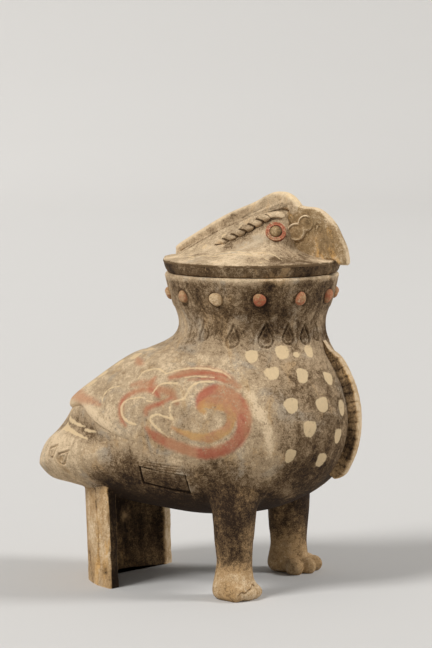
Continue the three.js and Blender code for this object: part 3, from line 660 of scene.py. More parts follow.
def stamp_relief(distance):
    """The stamp's section: a lip, a groove inside it, a second lip and a sunk core. Depth 1 is the groove."""
    return (0.4 * hump(distance - 0.7, 0.9) - 0.75 * hump(distance + 0.7, 0.8)
            - 0.35 * ramp(0.3, -1, distance) + 0.35 * hump(distance + 2.2, 0.7)
            - 0.4 * ramp(-2.6, -3.6, distance))


def stroke_distance(points, places, sign):
    """Distance outside a stroke drawn through the places on one side, as wide as each of them says."""
    line = curve_through(places, 16 * len(places))
    spine = even_steps(np.hstack([on_vessel(line[:, 1], sign * np.radians(line[:, 0]))[0], line[:, 2:]]),
                       30 * len(places))
    distance = np.full(len(points), UNPAINTED)
    reach = spine[:, 3].max() / 2 + 5
    close = ((points > spine[:, :3].min(0) - reach) & (points < spine[:, :3].max(0) + reach)).all(1)
    if close.any():
        away, index = nearest(points[close], spine[:, :3])
        distance[close] = away - spine[index, 3] / 2
    return distance


def spot_distance(points, spot, sign):
    """Distance outside a rough painted spot: an oval with squarish shoulders, broad above and narrow
    below."""
    degrees, level, width, height, turn = spot
    centre, _, back, up = placed(degrees, level, sign)
    offset = points - centre
    across, rise = offset @ back, offset @ up
    c, s = math.cos(math.radians(turn)), math.sin(math.radians(turn))
    across, rise = across * c - rise * s, across * s + rise * c
    taper = 1 - 0.22 * np.clip(-rise / height * 2, -1, 1)
    oval = (np.abs(across / (width / 2 * taper)) ** 2.6 + np.abs(rise / (height / 2)) ** 2.6) ** (1 / 2.6)
    distance = (oval - 1) * min(width, height) / 2
    return np.where(np.linalg.norm(offset, axis=1) < 2 * max(width, height), distance, UNPAINTED)


PAINTS = {"red": RED_BANDS, "orange": ORANGE_BANDS, "ochre": OCHRE_BANDS, "cream": CREAM_BANDS + SCALLOPS}


def paint_marks(points):
    """Distances, in millimetres, outside each paint, negative inside it."""
    points = points.reshape(-1, 3)
    marks = {name: np.full(len(points), UNPAINTED) for name in PAINTS}
    for _, sign in SIDES:
        side = points[:, 1] * sign > -6
        part = points[side]
        for name, strokes in PAINTS.items():
            for places in strokes:
                marks[name][side] = np.minimum(marks[name][side], stroke_distance(part, places, sign))
        for spot in CHEST_SPOTS + BACK_SPOTS:
            marks["cream"][side] = np.minimum(marks["cream"][side], spot_distance(part, spot, sign))
    return marks


def with_blank(marks, count):
    """The marks again, with that many unpainted points after them."""
    return {name: np.concatenate([values, np.full(count, UNPAINTED)]) for name, values in marks.items()}


def pit_and_scratches(points):
    """Depth of the pit in the back and of the scratches on the chest."""
    flat = points.reshape(-1, 3)
    pit = placed(*PIT_PLACE, -1)[0]
    depth = 1.6 * hump(np.linalg.norm(flat - pit, axis=1), 1.5)
    for places in SCRATCHES:
        depth += 0.5 * ramp(0.5, -0.3, stroke_distance(flat, places, -1))
    return depth.reshape(points.shape[:-1])


# What grows out of the body


def leg_lean(height):
    """How far the leg's axis leans in towards the belly above the knee."""
    return LEG_LEAN * (np.clip(height - KNEE_HEIGHT, 0, None) / (LEG_ROOT_HEIGHT - KNEE_HEIGHT)) ** 2


def leg_field(points, side, sign):
    """Distance outside a leg: a column whose radius follows its outline, softly joined to its toes."""
    radius_line = even_steps(curve_through(LEG_LINE, 90), 90)
    x, y, z = np.moveaxis(points, -1, 0)
    across, along = y - sign * (LEG_SPREAD - leg_lean(z)), x - LEG_X
    turn = np.arctan2(across, along)
    slim = mix(1, LEG_SLIMNESS[side], ramp(10, 35, z))
    radius = np.interp(z, radius_line[:, 1], radius_line[:, 0]) * slim
    wander = 0.5 * cloud(points, 16, 21) + 0.3 * cloud(points, 7, 22)
    distance = np.hypot(across, along) - radius - 0.5 * np.cos(2 * turn) - wander
    for i in range(TOES):
        fan = math.radians(TOE_FAN * (i - 1.5) + sign * (4 - 2 * i))
        ahead = along * math.cos(fan) + across * math.sin(fan) - TOE_REACH[side] + 0.9 * (i % 2)
        aside = across * math.cos(fan) - along * math.sin(fan)
        scale = np.sqrt((ahead / 10) ** 2 + (aside / (TOE_RADIUS * 1.04)) ** 2
                        + ((z - TOE_RADIUS * 0.8) / (TOE_RADIUS * 1.08)) ** 2)
        toe = (scale - 1) * TOE_RADIUS - 0.4 * cloud(points, 6, 23)
        distance = soft_min(distance, toe, TOE_BLEND[side])
    return distance + np.maximum(z - LEG_TOP, 0)


def support_plan(points):
    """Distance round the slab's middle line from its centre, and out from that line, in a level plan."""
    x, y, z = np.moveaxis(points, -1, 0)
    x = x - SUPPORT_X + z * math.tan(math.radians(SUPPORT_LEAN))
    turn = np.arctan2(y, -x)
    return SUPPORT_MIDDLE * turn, np.hypot(x, y) - SUPPORT_RADIUS + SUPPORT_WALL / 2


def support_cut(along, out):
    """How far past its half length the slab reaches: its ends are cut aslant, more so on the left."""
    share = np.clip(out / SUPPORT_WALL + 0.5, 0, 1)
    return np.where(along > 0, mix(-4.5, 2, share), mix(-2, 0, share))


def support_field(points):
    """Distance outside the slab: a box with round corners bent round the middle line."""
    corner = 1.0
    along, out = support_plan(points)
    end = np.abs(along) - SUPPORT_HALF_LENGTH - support_cut(along, out) + corner
    side = np.abs(out) - SUPPORT_WALL / 2 + corner
    return np.hypot(np.maximum(end, 0), np.maximum(side, 0)) + np.minimum(np.maximum(end, side), 0) - corner


def slopes_of(field, points, step=0.05):
    """The field's gradient at the points, by central differences."""
    slopes = [field(points + step * axis) - field(points - step * axis) for axis in np.eye(3)]
    return unit(np.stack(slopes, -1))


def body_distance(points):
    """Distance outside the body, measured square to the closest point of its grid, and that point's
    direction."""
    grid, directions = vessel()
    grid, directions = (part[4:BODY_ROWS:3, ::3].reshape(-1, 3) for part in (grid, directions))
    low, high = points.min(0) - 25, points.max(0) + 25
    close = ((grid > low) & (grid < high)).all(1)
    grid, directions = grid[close], directions[close]
    _, index = nearest(points, grid)
    out = directions[index]
    return ((points - grid[index]) * out).sum(1), out


def grown_together(points, own, own_slope, other, other_slope, width):
    """Points moved on to the surface where two forms melt into one fillet of that width."""
    both = soft_min(own, other, width)
    blend = 0.5 * np.maximum(width - np.abs(own - other), 0) / width
    share = np.where(own <= other, blend, 1 - blend)[:, None]
    slope = unit(own_slope * (1 - share) + other_slope * share)
    return points - np.clip(both, -6, 6)[:, None] * slope


def melted_into_body(points, field, width):
    """A leg's or slab's points, moved so that it swells into the belly, and pressed a little under the body's
    skin once inside it."""
    start = points
    for _ in range(3):
        near_body, out = body_distance(points)
        points = grown_together(points, field(points), slopes_of(field, points), near_body, out, width)
    inside = ramp(1, -3, body_distance(start)[0])
    return points - out * (0.9 * inside)[:, None]


def melted_on_body(points, directions, fields):
    """The body's points, moved so that it swells into legs and slab, and pressed a little under their skin
    once inside them. Each field comes with the width of its fillet."""
    start = points.copy()
    for field, width in fields:
        near = np.flatnonzero(field(start) < width)
        place, out = start[near], directions[near]
        for _ in range(3):
            own = ((place - start[near]) * out).sum(1)
            place = grown_together(place, own, out, field(place), slopes_of(field, place), width)
        inside = ramp(1, -3, field(start[near]))
        covered = (inside > 0.99)[:, None]
        points[near] = np.where(covered, start[near] - 1.5 * out, place - out * (0.9 * inside)[:, None])
    return points


# Materials


def linear(colour):
    """A screen colour as a shader's numbers."""
    shown = np.asarray(colour, float)
    lit = np.where(shown <= 0.04045, shown / 12.92, ((shown + 0.055) / 1.055) ** 2.4)
    return (*lit.tolist(), 1)


class Nodes:
    """A short hand for wiring a node tree."""

    def __init__(self, tree):
        self.tree = tree

    def new(self, kind, inputs=None, **settings):
        node = self.tree.nodes.new(kind)
        for key, value in settings.items():
            setattr(node, key, value)
        for key, value in (inputs or {}).items():
            self.put(value, node.inputs[key])
        return node

    def put(self, value, socket):
        if isinstance(value, bpy.types.NodeSocket):
            self.tree.links.new(value, socket)
        else:
            socket.default_value = value

    def maths(self, operation, a, b, clamp=False):
        return self.new("ShaderNodeMath", {0: a, 1: b}, operation=operation, use_clamp=clamp).outputs[0]

    def plus(self, a, b):
        return self.maths("ADD", a, b)

    def minus(self, a, b):
        return self.maths("SUBTRACT", a, b)

    def times(self, a, b):
        return self.maths("MULTIPLY", a, b)

    def noise(self, vector, scale, detail=4.0, roughness=0.6, distortion=0.0):
        settings = {"Vector": vector, "Scale": scale, "Detail": detail, "Roughness": roughness,
                    "Distortion": distortion}
        return self.new("ShaderNodeTexNoise", settings).outputs["Fac"]

    def between(self, value, low, high):
        """0 at low and 1 at high, smooth between."""
        node = self.new("ShaderNodeMapRange", {0: value, 1: low, 2: high, 3: 0.0, 4: 1.0},
                        interpolation_type="SMOOTHSTEP")
        return node.outputs[0]

    def blend(self, share, a, b, kind="MIX"):
        node = self.new("ShaderNodeMix", data_type="RGBA", blend_type=kind)
        for value, index in ((share, 0), (a, 6), (b, 7)):
            self.put(value, node.inputs[index])
        return node.outputs[2]


def group(name, inputs, outputs):
    """A shader node group with named sockets: (kind, name, default) each."""
    tree = bpy.data.node_groups.new(name, "ShaderNodeTree")
    for kind, label, default in inputs:
        socket = tree.interface.new_socket(name=label, in_out="INPUT", socket_type=kind)
        socket.default_value = default
    for kind, label in outputs:
        tree.interface.new_socket(name=label, in_out="OUTPUT", socket_type=kind)
    given, out = tree.nodes.new("NodeGroupInput").outputs, tree.nodes.new("NodeGroupOutput").inputs
    return tree, Nodes(tree), given, out


COLOUR, VALUE, VECTOR = "NodeSocketColor", "NodeSocketFloat", "NodeSocketVector"
BLACK = (0, 0, 0, 1)
CLAY_TONES = ("Clay", "Pale", "Dark", "Darkest clay and shade", "Stain", "Dust")


@lru_cache(maxsize=None)
def fired_clay_group():
    """Old fired clay: broad and small mottling between a dark and a pale tone, stains, specks and grain."""
    tree, n, given, out = group(
        "Fired clay",
        [*((COLOUR, label, BLACK) for label in CLAY_TONES), (VALUE, "Shade", 0.0), (VALUE, "Paleness", 0.0),
         (VALUE, "Stains", 0.3), (VECTOR, "Stretch", (1.0, 1.0, 0.5))],
        [(COLOUR, "Color"), (VALUE, "Height"), (VALUE, "Roughness")])
    place = n.new("ShaderNodeTexCoord").outputs["Object"]
    stretched = n.new("ShaderNodeMapping", {"Vector": place, "Scale": given["Stretch"]}).outputs[0]
    broad = n.noise(place, 21.0, 5.0, 0.62, 0.6)
    middling = n.noise(stretched, 85.0, 6.0, 0.66, 0.3)
    small = n.noise(place, 330.0, 5.0, 0.7)
    grain = n.noise(place, 1250.0, 3.0, 0.7)
    tone = 0.5
    for source, gain in ((broad, 0.9), (middling, 0.9), (small, 1.0), (grain, 1.1)):
        tone = n.plus(n.times(n.minus(source, 0.5), gain), tone)
    # The shade marks bring the painted light and shade, with the clay's own paler and darker places, into the
    # tone.
    tone = n.plus(tone, n.times(given["Shade"], 0.25))
    tone = n.plus(tone, given["Paleness"])
    dusty = n.between(n.noise(place, 38.0, 4.0, 0.6, 0.8), 0.5, 0.68)
    patch = n.between(n.noise(stretched, 47.0, 5.0, 0.7, 1.2), 0.54, 0.66)
    colour = n.blend(n.times(dusty, 0.6), given["Clay"], given["Dust"])
    colour = n.blend(n.maths("MULTIPLY", patch, given["Stains"], clamp=True), colour, given["Stain"])
    colour = n.blend(n.between(tone, 0.5, 0.92), colour, given["Pale"])
    colour = n.blend(n.between(tone, 0.52, 0.08), colour, given["Dark"])
    colour = n.blend(n.between(tone, 0.15, -0.17), colour, given["Darkest clay and shade"])
    pits = n.between(n.noise(place, 520.0, 3.0, 0.6), 0.4, 0.31)
    colour = n.blend(n.times(pits, 0.45), colour, given["Dark"])
    n.put(colour, out["Color"])
    height = n.plus(n.times(middling, 0.9), n.times(small, 0.6))
    height = n.plus(height, n.times(grain, 0.2))
    height = n.minus(height, n.times(pits, 0.3))
    n.put(height, out["Height"])
    n.put(n.plus(0.74, n.times(small, 0.24)), out["Roughness"])
    return tree


@lru_cache(maxsize=None)
def worn_paint_group():
    """Paint inside a distance line: a wavering edge, and flaked away where a fine noise is high."""
    tree, n, given, out = group(
        "Worn paint",
        [(VALUE, "Distance", 0.0), (VALUE, "Softness", 0.35), (VALUE, "Wear", 0.4)], [(VALUE, "Mask")])
    place = n.new("ShaderNodeTexCoord").outputs["Object"]
    shift = n.minus(n.noise(place, 240.0, 4.0, 0.7), 0.5)
    edge = n.plus(given["Distance"], n.times(shift, 3.4))
    inside = n.between(edge, given["Softness"], n.times(given["Softness"], -1.0))
    flaked = n.plus(n.times(n.noise(place, 560.0, 5.0, 0.75), 0.55), n.times(n.noise(place, 75.0), 0.45))
    worn = n.between(flaked, n.minus(0.66, n.times(given["Wear"], 0.26)),
                     n.minus(0.78, n.times(given["Wear"], 0.24)))
    n.put(n.times(inside, n.minus(1.0, worn)), out["Mask"])
    return tree


def clay_material(name, tones, paleness=0.0, stains=0.3, bump=0.5, stretch=0.5, paints=()):
    """A clay finish with its own tones, and paints laid over it: each is a mark, its colour where thick and
    where thin, its wear, the softness of its edge in millimetres and its strength."""
    colours = bpy.context.scene.jar_colours
    material = bpy.data.materials.new(name)
    material.use_nodes = True
    n = Nodes(material.node_tree)
    shader = material.node_tree.nodes["Principled BSDF"]
    shader.inputs["Specular IOR Level"].default_value = 0.2
    clay = n.new("ShaderNodeGroup")
    clay.node_tree = fired_clay_group()
    for socket, tone in zip(CLAY_TONES, tones):
        clay.inputs[socket].default_value = linear(getattr(colours, tone))
    clay.inputs["Paleness"].default_value = paleness
    clay.inputs["Stains"].default_value = stains
    clay.inputs["Stretch"].default_value = (1, 1, stretch)
    n.put(n.new("ShaderNodeAttribute", attribute_name="shade").outputs["Fac"], clay.inputs["Shade"])
    colour, height = clay.outputs["Color"], clay.outputs["Height"]
    place = n.new("ShaderNodeTexCoord").outputs["Object"]
    for mark, main, thin, wear, softness, strength in paints:
        paint = n.new("ShaderNodeGroup")
        paint.node_tree = worn_paint_group()
        paint.inputs["Wear"].default_value = wear
        paint.inputs["Softness"].default_value = softness
        if mark == "all over":
            paint.inputs["Distance"].default_value = -5.0
        else:
            n.put(n.new("ShaderNodeAttribute", attribute_name=mark).outputs["Fac"], paint.inputs["Distance"])
        coat = n.blend(n.between(n.noise(place, 42.0), 0.42, 0.6),
                       linear(getattr(colours, main)), linear(getattr(colours, thin)))
        coat = n.blend(0.22, coat, colour, "MULTIPLY")
        colour = n.blend(n.times(paint.outputs["Mask"], strength), colour, coat)
        height = n.plus(height, n.times(paint.outputs["Mask"], 0.15))
    n.put(colour, shader.inputs["Base Color"])
    n.put(clay.outputs["Roughness"], shader.inputs["Roughness"])
    bumped = n.new("ShaderNodeBump", {"Strength": bump, "Distance": 1.3 * MM, "Height": height})
    n.put(bumped.outputs[0], shader.inputs["Normal"])
    return material


# The tones of each clay: plain, pale, dark, darkest, stains and dust.
BODY_TONES = ("clay", "pale", "dark", "darkest_clay_and_shade", "ochre", "grey")
PALE_TONES = ("pale", "cream", "clay", "dark", "ochre", "grey")
WARM_TONES = ("sand", "pale", "dark", "darkest_clay_and_shade", "ochre", "clay")
OLIVE_TONES = ("olive", "pale", "dark", "darkest_clay_and_shade", "ochre", "sand")
DARK_TONES = ("dark", "clay", "darkest_clay_and_shade", "darkest_clay_and_shade", "sand", "dark")

# Each finish: the slot that goes with it, its tones and its settings.
FINISHES = {
    "painted clay": ("painted_clay", BODY_TONES, {"stains": 0.25, "paints": (
        ("orange", "tan", "tan", 0.5, 2.4, 0.7), ("red", "red", "tan", 0.45, 2.0, 0.8),
        ("ochre", "ochre", "tan", 0.5, 1.3, 0.8), ("cream", "cream", "cream", 0.35, 0.45, 0.9))}),
    "leg clay": ("painted_clay", WARM_TONES, {"bump": 0.8, "stretch": 0.4}),
    "head clay": ("pale_clay", PALE_TONES, {"stains": 0.35, "bump": 0.6, "paleness": -0.21, "paints": (
        ("cream", "cream", "cream", 0.4, 0.5, 0.8),)}),
    "flange clay": ("pale_clay", WARM_TONES, {"stains": 0.5, "bump": 0.6}),
    "plate clay": ("painted_clay", DARK_TONES, {"stains": 0.6, "bump": 0.8, "paleness": -0.06}),
    "beak clay": ("ochre_clay", OLIVE_TONES, {"stains": 1.0}),
    "support clay": ("ochre_clay", WARM_TONES, {"stains": 0.8, "bump": 0.7, "stretch": 0.18}),
    "red paint": ("red_paint", WARM_TONES, {"bump": 0.7, "paints": (
        ("all over", "red", "tan", 0.82, 0.5, 0.8),)}),
    "eye paint": ("red_paint", WARM_TONES, {"bump": 0.7, "paints": (
        ("all over", "red", "tan", 0.75, 0.5, 0.8),)}),
    "cream paint": ("cream_paint", WARM_TONES, {"bump": 0.7, "paints": (
        ("all over", "cream", "pale", 1.0, 0.5, 0.6),)}),
    "pupil paint": ("ochre_clay", OLIVE_TONES, {"stains": 0.8, "paleness": -0.1}),
}


@lru_cache(maxsize=None)
def finish(name):
    """The material of that finish, built the first time it is asked for."""
    _, tones, settings = FINISHES[name]
    return clay_material(name.replace(" ", "_"), tones, **settings)


# Pieces of the vessel

# Finer stretches of the vessel's skin: degrees, levels, cell size and how deep the coarse skin is pressed.
INLAYS = {
    "tail": {"degrees": (117, 243), "levels": (0.41, 0.73), "cell": 0.75, "sunk": 1.6},
    "flank": {"degrees": (-112, -82), "levels": (0.235, 0.475), "cell": 0.42, "sunk": 5.5},
}


def inside_region(region, degrees, level):
    """Millimetres inside the region's border, for pressing the coarse skin under it."""
    start, end = region["degrees"]
    low, high = region["levels"]
    per_degree, per_level = 1.6, 170
    turned = start + (degrees - start) % 360
    across = np.minimum(turned - start, end - turned) * per_degree
    up = np.minimum(level - low, high - level) * per_level
    return np.minimum(across, up)


def vessel_shade(points):
    """How pale the vessel's clay is: smoked under the belly and round the neck, greyer on the chest, and pale
    on the wings, the back and the tail's end."""
    x, _, z = np.moveaxis(points, -1, 0)
    z = z + 9 * cloud(points, 36, 31) + 3 * cloud(points, 11, 32)
    # Painted shade under the belly, deepest between the legs.
    underside_shade = ramp(114, 77, z) * ramp(-118, -82, x)
    # The chest is darker, partly greyer clay and partly painted shade where it faces away from the light.
    chest = ramp(22, 55, x) * ramp(192, 165, z) * (1 - 0.6 * underside_shade)
    neck = ramp(174, 203, z) * mix(1, 0.45, ramp(-25, -48, x)) * mix(1, 0.75, ramp(196, 206, z))
    # A painted highlight down the front edge of each wing.
    light = np.zeros(x.shape)
    for _, sign in SIDES:
        distance = stroke_distance(points.reshape(-1, 3), NOSE_LIGHT, sign).reshape(x.shape)
        light += ramp(5, -2.5, distance + 2.5 * cloud(points, 8, 33))
    belly = underside_shade * mix(2.7, 1.7, ramp(10, 45, x)) + 0.5 * ramp(88, 66, z)
    # The upper body and the tail's end are paler, painted light; the neck is darker.
    return (0.45 * ramp(95, 125, z) + 0.9 * ramp(-95, -140, x) - belly - 1.4 * chest * (1 - light)
            - 1.9 * neck + 1.2 * light)


def body_shade(points, level, angle):
    """How pale the body's clay is there, with the hollow under each wing darkened."""
    return vessel_shade(points) - VALLEY_PAINTED_SHADE * valley_share(level, side_degrees(angle))


def make_body():
    """The coarse skin of the body, inside and out: rings from the pole under the belly up to the neck's
    joint, over the wall and down inside."""
    columns = 560
    level = np.linspace(0.014, NECK_LEVEL, 152)[:, None]
    angle = round_angles(columns)[None]
    points, directions = on_vessel(level, angle)
    degrees = np.degrees(angle) + 0 * level
    pressed = pit_and_scratches(points)
    # The pit and the scratches are darker, painted shade.
    shade = body_shade(points, level, angle) - 1.6 * pressed
    for region in INLAYS.values():
        pressed = pressed + region["sunk"] * ramp(1.5, 5, inside_region(region, degrees, level + 0 * angle))
    outside = points - directions * pressed[..., None]
    width = jar_size("fillet")
    fields = [(partial(leg_field, side=side, sign=sign), width) for side, sign in SIDES]
    fields.append((support_field, SUPPORT_FILLET * width))
    outside = melted_on_body(outside.reshape(-1, 3), directions.reshape(-1, 3), fields)
    inner_level = np.linspace(NECK_LEVEL, 0.06, 14)[:, None]
    inner = body_surface(inner_level, angle, HOLLOW)
    inner = inner - normals_of(inner[::-1])[::-1] * WALL
    rings = np.concatenate([outside.reshape(points.shape), inner])
    rest = inner.shape[0] * columns + 2
    marks = with_blank(paint_marks(points), rest)
    # The inside is darker, painted shade.
    marks["shade"] = np.concatenate([shade.ravel(), np.full(rest, -1.2)])
    piece("jar_body", with_tips(rings), tube_faces(len(rings), columns), "vessel", "painted clay", marks,
          ["body_shell"])


def inlay(name, region, relief, thickness):
    """A fine stretch of skin, flush with the vessel at its border, with its own relief and darkness."""
    start, end = np.radians(region["degrees"])
    low, high = region["levels"]
    ring = on_vessel((low + high) / 2, np.linspace(start, end, 60))[0]
    rise = on_vessel(np.linspace(low, high, 40), (start + end) / 2)[0]
    columns = int(np.linalg.norm(np.diff(ring, axis=0), axis=1).sum() / region["cell"])
    rows = int(np.linalg.norm(np.diff(rise, axis=0), axis=1).sum() / region["cell"])
    level, angle = np.meshgrid(np.linspace(low, high, rows), np.linspace(start, end, columns), indexing="ij")
    points, directions = on_vessel(level, angle)
    height, darkness = relief(points)
    front = points + directions * (0.05 + height)[..., None]
    marks = paint_marks(points)
    marks["shade"] = body_shade(points, level, angle) - darkness
    slab(name, front, points - directions * thickness, marks)


def make_tail_stamps():
    """The skin round the tail's tip, stamped on both sides with teardrops that point at the back."""
    depth = jar_size("stamp_depth")
    lean = math.radians(TAIL_STAMP_LEAN)

    def relief(points):
        height = np.zeros(points.shape[:2])
        for degrees, level, width, length in TAIL_STAMPS:
            for _, sign in SIDES:
                centre, _, back, up = placed(degrees, level, sign)
                along = up * math.cos(lean) - back * math.sin(lean)
                aside = back * math.cos(lean) + up * math.sin(lean)
                distance = teardrop((points - centre) @ aside, (points - centre) @ along, width, length)
                near = np.linalg.norm(points - centre, axis=-1) < length
                height += np.where(near, depth * stamp_relief(distance), 0)
        # Painted light and shade: paler on the stamps' lips and darker in their grooves.
        return height, -0.9 * height

    inlay("tail_stamps", INLAYS["tail"], relief, 1.5)


def plug_frame():
    """The middle of the plug, outward, along it and up across it."""
    centre, out, back, up = placed(*PLUG_PLACE, -1)
    tilt = math.radians(PLUG_TILT)
    along = -back * math.cos(tilt) + up * math.sin(tilt)
    return centre, out, along, np.cross(out, along)


def plug_distance(points):
    """Distance outside the plug's four straight sides, and the place along and up it."""
    centre, _, along, up = plug_frame()
    a, b = (points - centre) @ along, (points - centre) @ up
    distance = np.full(a.shape, -50.0)
    for (x0, y0), (x1, y1) in zip(PLUG_CORNERS, PLUG_CORNERS[1:] + PLUG_CORNERS[:1]):
        run = math.hypot(x1 - x0, y1 - y0)
        distance = np.maximum(distance, ((a - x0) * (y1 - y0) - (b - y0) * (x1 - x0)) / run)
    return distance - 0.35 * cloud(points, 5, 51), a, b


def make_plug():
    """The flank's skin with a recess for the plug, and the plug itself, a hair smaller. Fine lines are drawn
    over the recess, and a facet is cut beside it."""
    crack = jar_size("crack_width")

    def recess(points):
        distance, a, b = plug_distance(points)
        sunk = ramp(0.3, -0.3, distance)
        lines = sum(hump(b - 9.5 - 2.1 * i - 0.05 * a, 0.5) for i in range(3))
        lines = lines * ramp(-17, -12, a) * ramp(16, 10, a)
        facet = hump(np.hypot(a - 22, b + 7), 3.2)
        height = 0.25 * hump(distance - 0.9, 1.0) - 4.2 * sunk - 0.35 * lines + 0.3 * facet
        # The recess and the drawn lines are darker, painted shade; the facet and the lip round the recess are
        # paler.
        return height, 2.4 * sunk + 0.7 * lines - 1.3 * facet - 0.5 * hump(distance - 0.9, 0.8)

    inlay("plug_seat", INLAYS["flank"], recess, 6)
    centre, _, along, up = plug_frame()
    rows, columns = 60, 110
    long, tall = 37, 17
    s, t = np.meshgrid(np.linspace(0, 1, rows), np.linspace(0, 1, columns), indexing="ij")
    upper_left, lower_left, lower_right, upper_right = (np.array(c, float) for c in PLUG_CORNERS)
    left = mix(lower_left, upper_left, s[..., None])
    right = mix(lower_right, upper_right, s[..., None])
    flat = mix(left, right, t[..., None])
    middle = flat.mean((0, 1))
    flat = middle + (flat - middle) * (1 - np.array([1.6, 1.2]) * crack / np.array([long, tall]))
    flat[..., 1] += 0.25 * crack
    level, angle = nearest_place(centre + flat[..., :1] * along + flat[..., 1:] * up)
    surface, direction = on_vessel(level, angle)
    inside = np.minimum.reduce([s * tall, (1 - s) * tall, t * long, (1 - t) * long])
    height = -0.3 + 0.4 * cloud(surface, 9, 53) - 0.9 * ramp(1.1, 0, inside)
    front = surface + direction * height[..., None]
    # The plug is darker towards its front, a little paler inside its border and darker at the very border,
    # painted shade in the crack.
    shade = vessel_shade(surface) + 0.25 - 0.5 * ramp(0.3, 0.9, t) + 0.3 * ramp(3, 0.6, inside)
    marks = dict.fromkeys(PAINTS, np.full(shade.shape, UNPAINTED))
    marks["shade"] = shade - 1.2 * ramp(0.5, 0, inside)
    slab("flank_plug", front, surface - direction * 4, marks, ["flank_plug"])


def nearest_place(points):
    """The level and angle of the vessel's grid point closest to each point, refined twice along the
    slopes."""
    grid, _ = vessel()
    first, last = 20, 160
    flat = grid[first:last].reshape(-1, 3)
    shape = points.shape[:-1]
    wanted = points.reshape(-1, 3)
    low, high = wanted.min(0) - 12, wanted.max(0) + 12
    close = np.flatnonzero(((flat > low) & (flat < high)).all(1))
    _, found = nearest(wanted, flat[close])
    index = close[found]
    level = (first + index // COLUMNS) / BODY_ROWS
    angle = TURN * (index % COLUMNS) / COLUMNS
    step = 1e-3
    for _ in range(2):
        here = on_vessel(level, angle)[0]
        up = (on_vessel(level + step, angle)[0] - here) / step
        around = (on_vessel(level, angle + step)[0] - here) / step
        gap = wanted - here
        uu, aa, ua = (up * up).sum(1), (around * around).sum(1), (up * around).sum(1)
        gu, ga = (gap * up).sum(1), (gap * around).sum(1)
        scale = uu * aa - ua * ua
        level = level + (gu * aa - ga * ua) / scale
        angle = angle + (ga * uu - gu * ua) / scale
    return level.reshape(shape), angle.reshape(shape)


def make_neck():
    """The neck and collar: rings from the joint with the body up to the mouth, over the lip and down the
    bore, with a ring of teardrop stamps and a moat pressed round each stud."""
    depth = jar_size("stamp_depth")
    level = np.concatenate([np.linspace(NECK_LEVEL, 1, 22)[:-1], np.linspace(1, 1.32, 36)[:-1],
                            np.linspace(1.32, 1.965, 40)])[:, None]
    angle = round_angles(COLUMNS)[None]
    points, directions = on_vessel(level, angle)
    z = points[..., 2]
    height = np.zeros(z.shape)
    for degrees, middle, width, length in NECK_STAMPS:
        for _, sign in SIDES:
            across = STAMP_RING_RADIUS * apart(angle, sign * math.radians(degrees)) + 0 * level
            distance = teardrop(across, z - middle, width, length)
            height += np.where(np.abs(across) < 12, depth * stamp_relief(distance), 0)
    moat = np.zeros(z.shape)
    for stud_angle in STUD_ANGLES:
        away = np.hypot(STUD_RING_RADIUS * apart(angle, stud_angle), z - STUD_LEVEL + 0.8)
        moat += hump(away - STUD_RADIUS - 0.6, 1.1)
    outside = points + directions * (height - 0.5 * moat)[..., None]
    # Painted light and shade: the stamps paler where raised and darker in their grooves, and the moats round
    # the studs darker. The top of the collar is paler.
    shade = vessel_shade(points) + 0.4 * height - 0.7 * moat
    shade += 0.35 * cloud(points, 19, 61) + 0.3 * cloud(points, 7, 62)
    shade += 1.6 * ramp(237, 242, z + 1.5 * cloud(points, 8, 63)) - 0.4 * ramp(210, 219, z)
    lip = turned_rings([(radius, MOUTH_HEIGHT - drop) for radius, drop in LIP_LINE] + BORE_LINE, angle)
    lip = lip + 0.25 * cloud(lip, 14, 64)[..., None] * [1, 1, 0]
    grid = np.concatenate([outside, lip])
    # The lip is paler and the bore darker, painted shade down the mouth.
    inner = np.full(lip.shape[:2], -0.6)
    inner[:5] = 0.5
    faces = quads_of(len(grid), COLUMNS, wrap_rows=True, wrap_columns=True)
    marks = with_blank(paint_marks(points), inner.size)
    marks["shade"] = np.concatenate([shade, inner]).ravel()
    piece("neck_and_collar", grid, faces, "vessel", "painted clay", marks, ["neck_collar"])


def make_studs():
    """Pressed pellets round the bulge: low domes, each a little out of round and of true."""
    rng = np.random.default_rng(7)
    rows, columns = 14, 28
    turn = round_angles(columns)[None]
    bend = np.linspace(-0.25, 0.5, rows)[:-1, None] * math.pi
    level = 1 + (STUD_LEVEL - NECK_HEIGHT) / (MOUTH_HEIGHT - NECK_HEIGHT)
    for i, angle in enumerate(STUD_ANGLES):
        centre, out = on_vessel(level, angle)
        across = unit(np.cross([0, 0, 1.0], out))
        up = np.cross(out, across)
        wide, tall, deep = rng.uniform(0.92, 1.1, 3) * [STUD_RADIUS, STUD_RADIUS, STUD_HEIGHT]
        radius = np.cos(bend) * (1 + 0.05 * np.sin(2 * turn + i) + 0.04 * np.sin(3 * turn + 2 * i))
        lift = np.sin(bend) * (0.9 + 0.12 * np.sin(turn + i))
        lift = np.minimum(lift, 0.82 + 0.05 * np.sin(turn))
        rings = (centre + (wide * radius * np.cos(turn))[..., None] * across
                 + (tall * radius * np.sin(turn))[..., None] * up + (deep * lift)[..., None] * out)
        paint = "cream paint" if i + 1 in CREAM_STUDS else "red paint"
        # Painted light and shade: each stud paler on its crown and darker at its foot.
        tube(f"collar_stud_{i + 1:02d}", rings, 0.9 * lift - 0.6 + 0 * turn, [-1, 0.3], "vessel", paint)


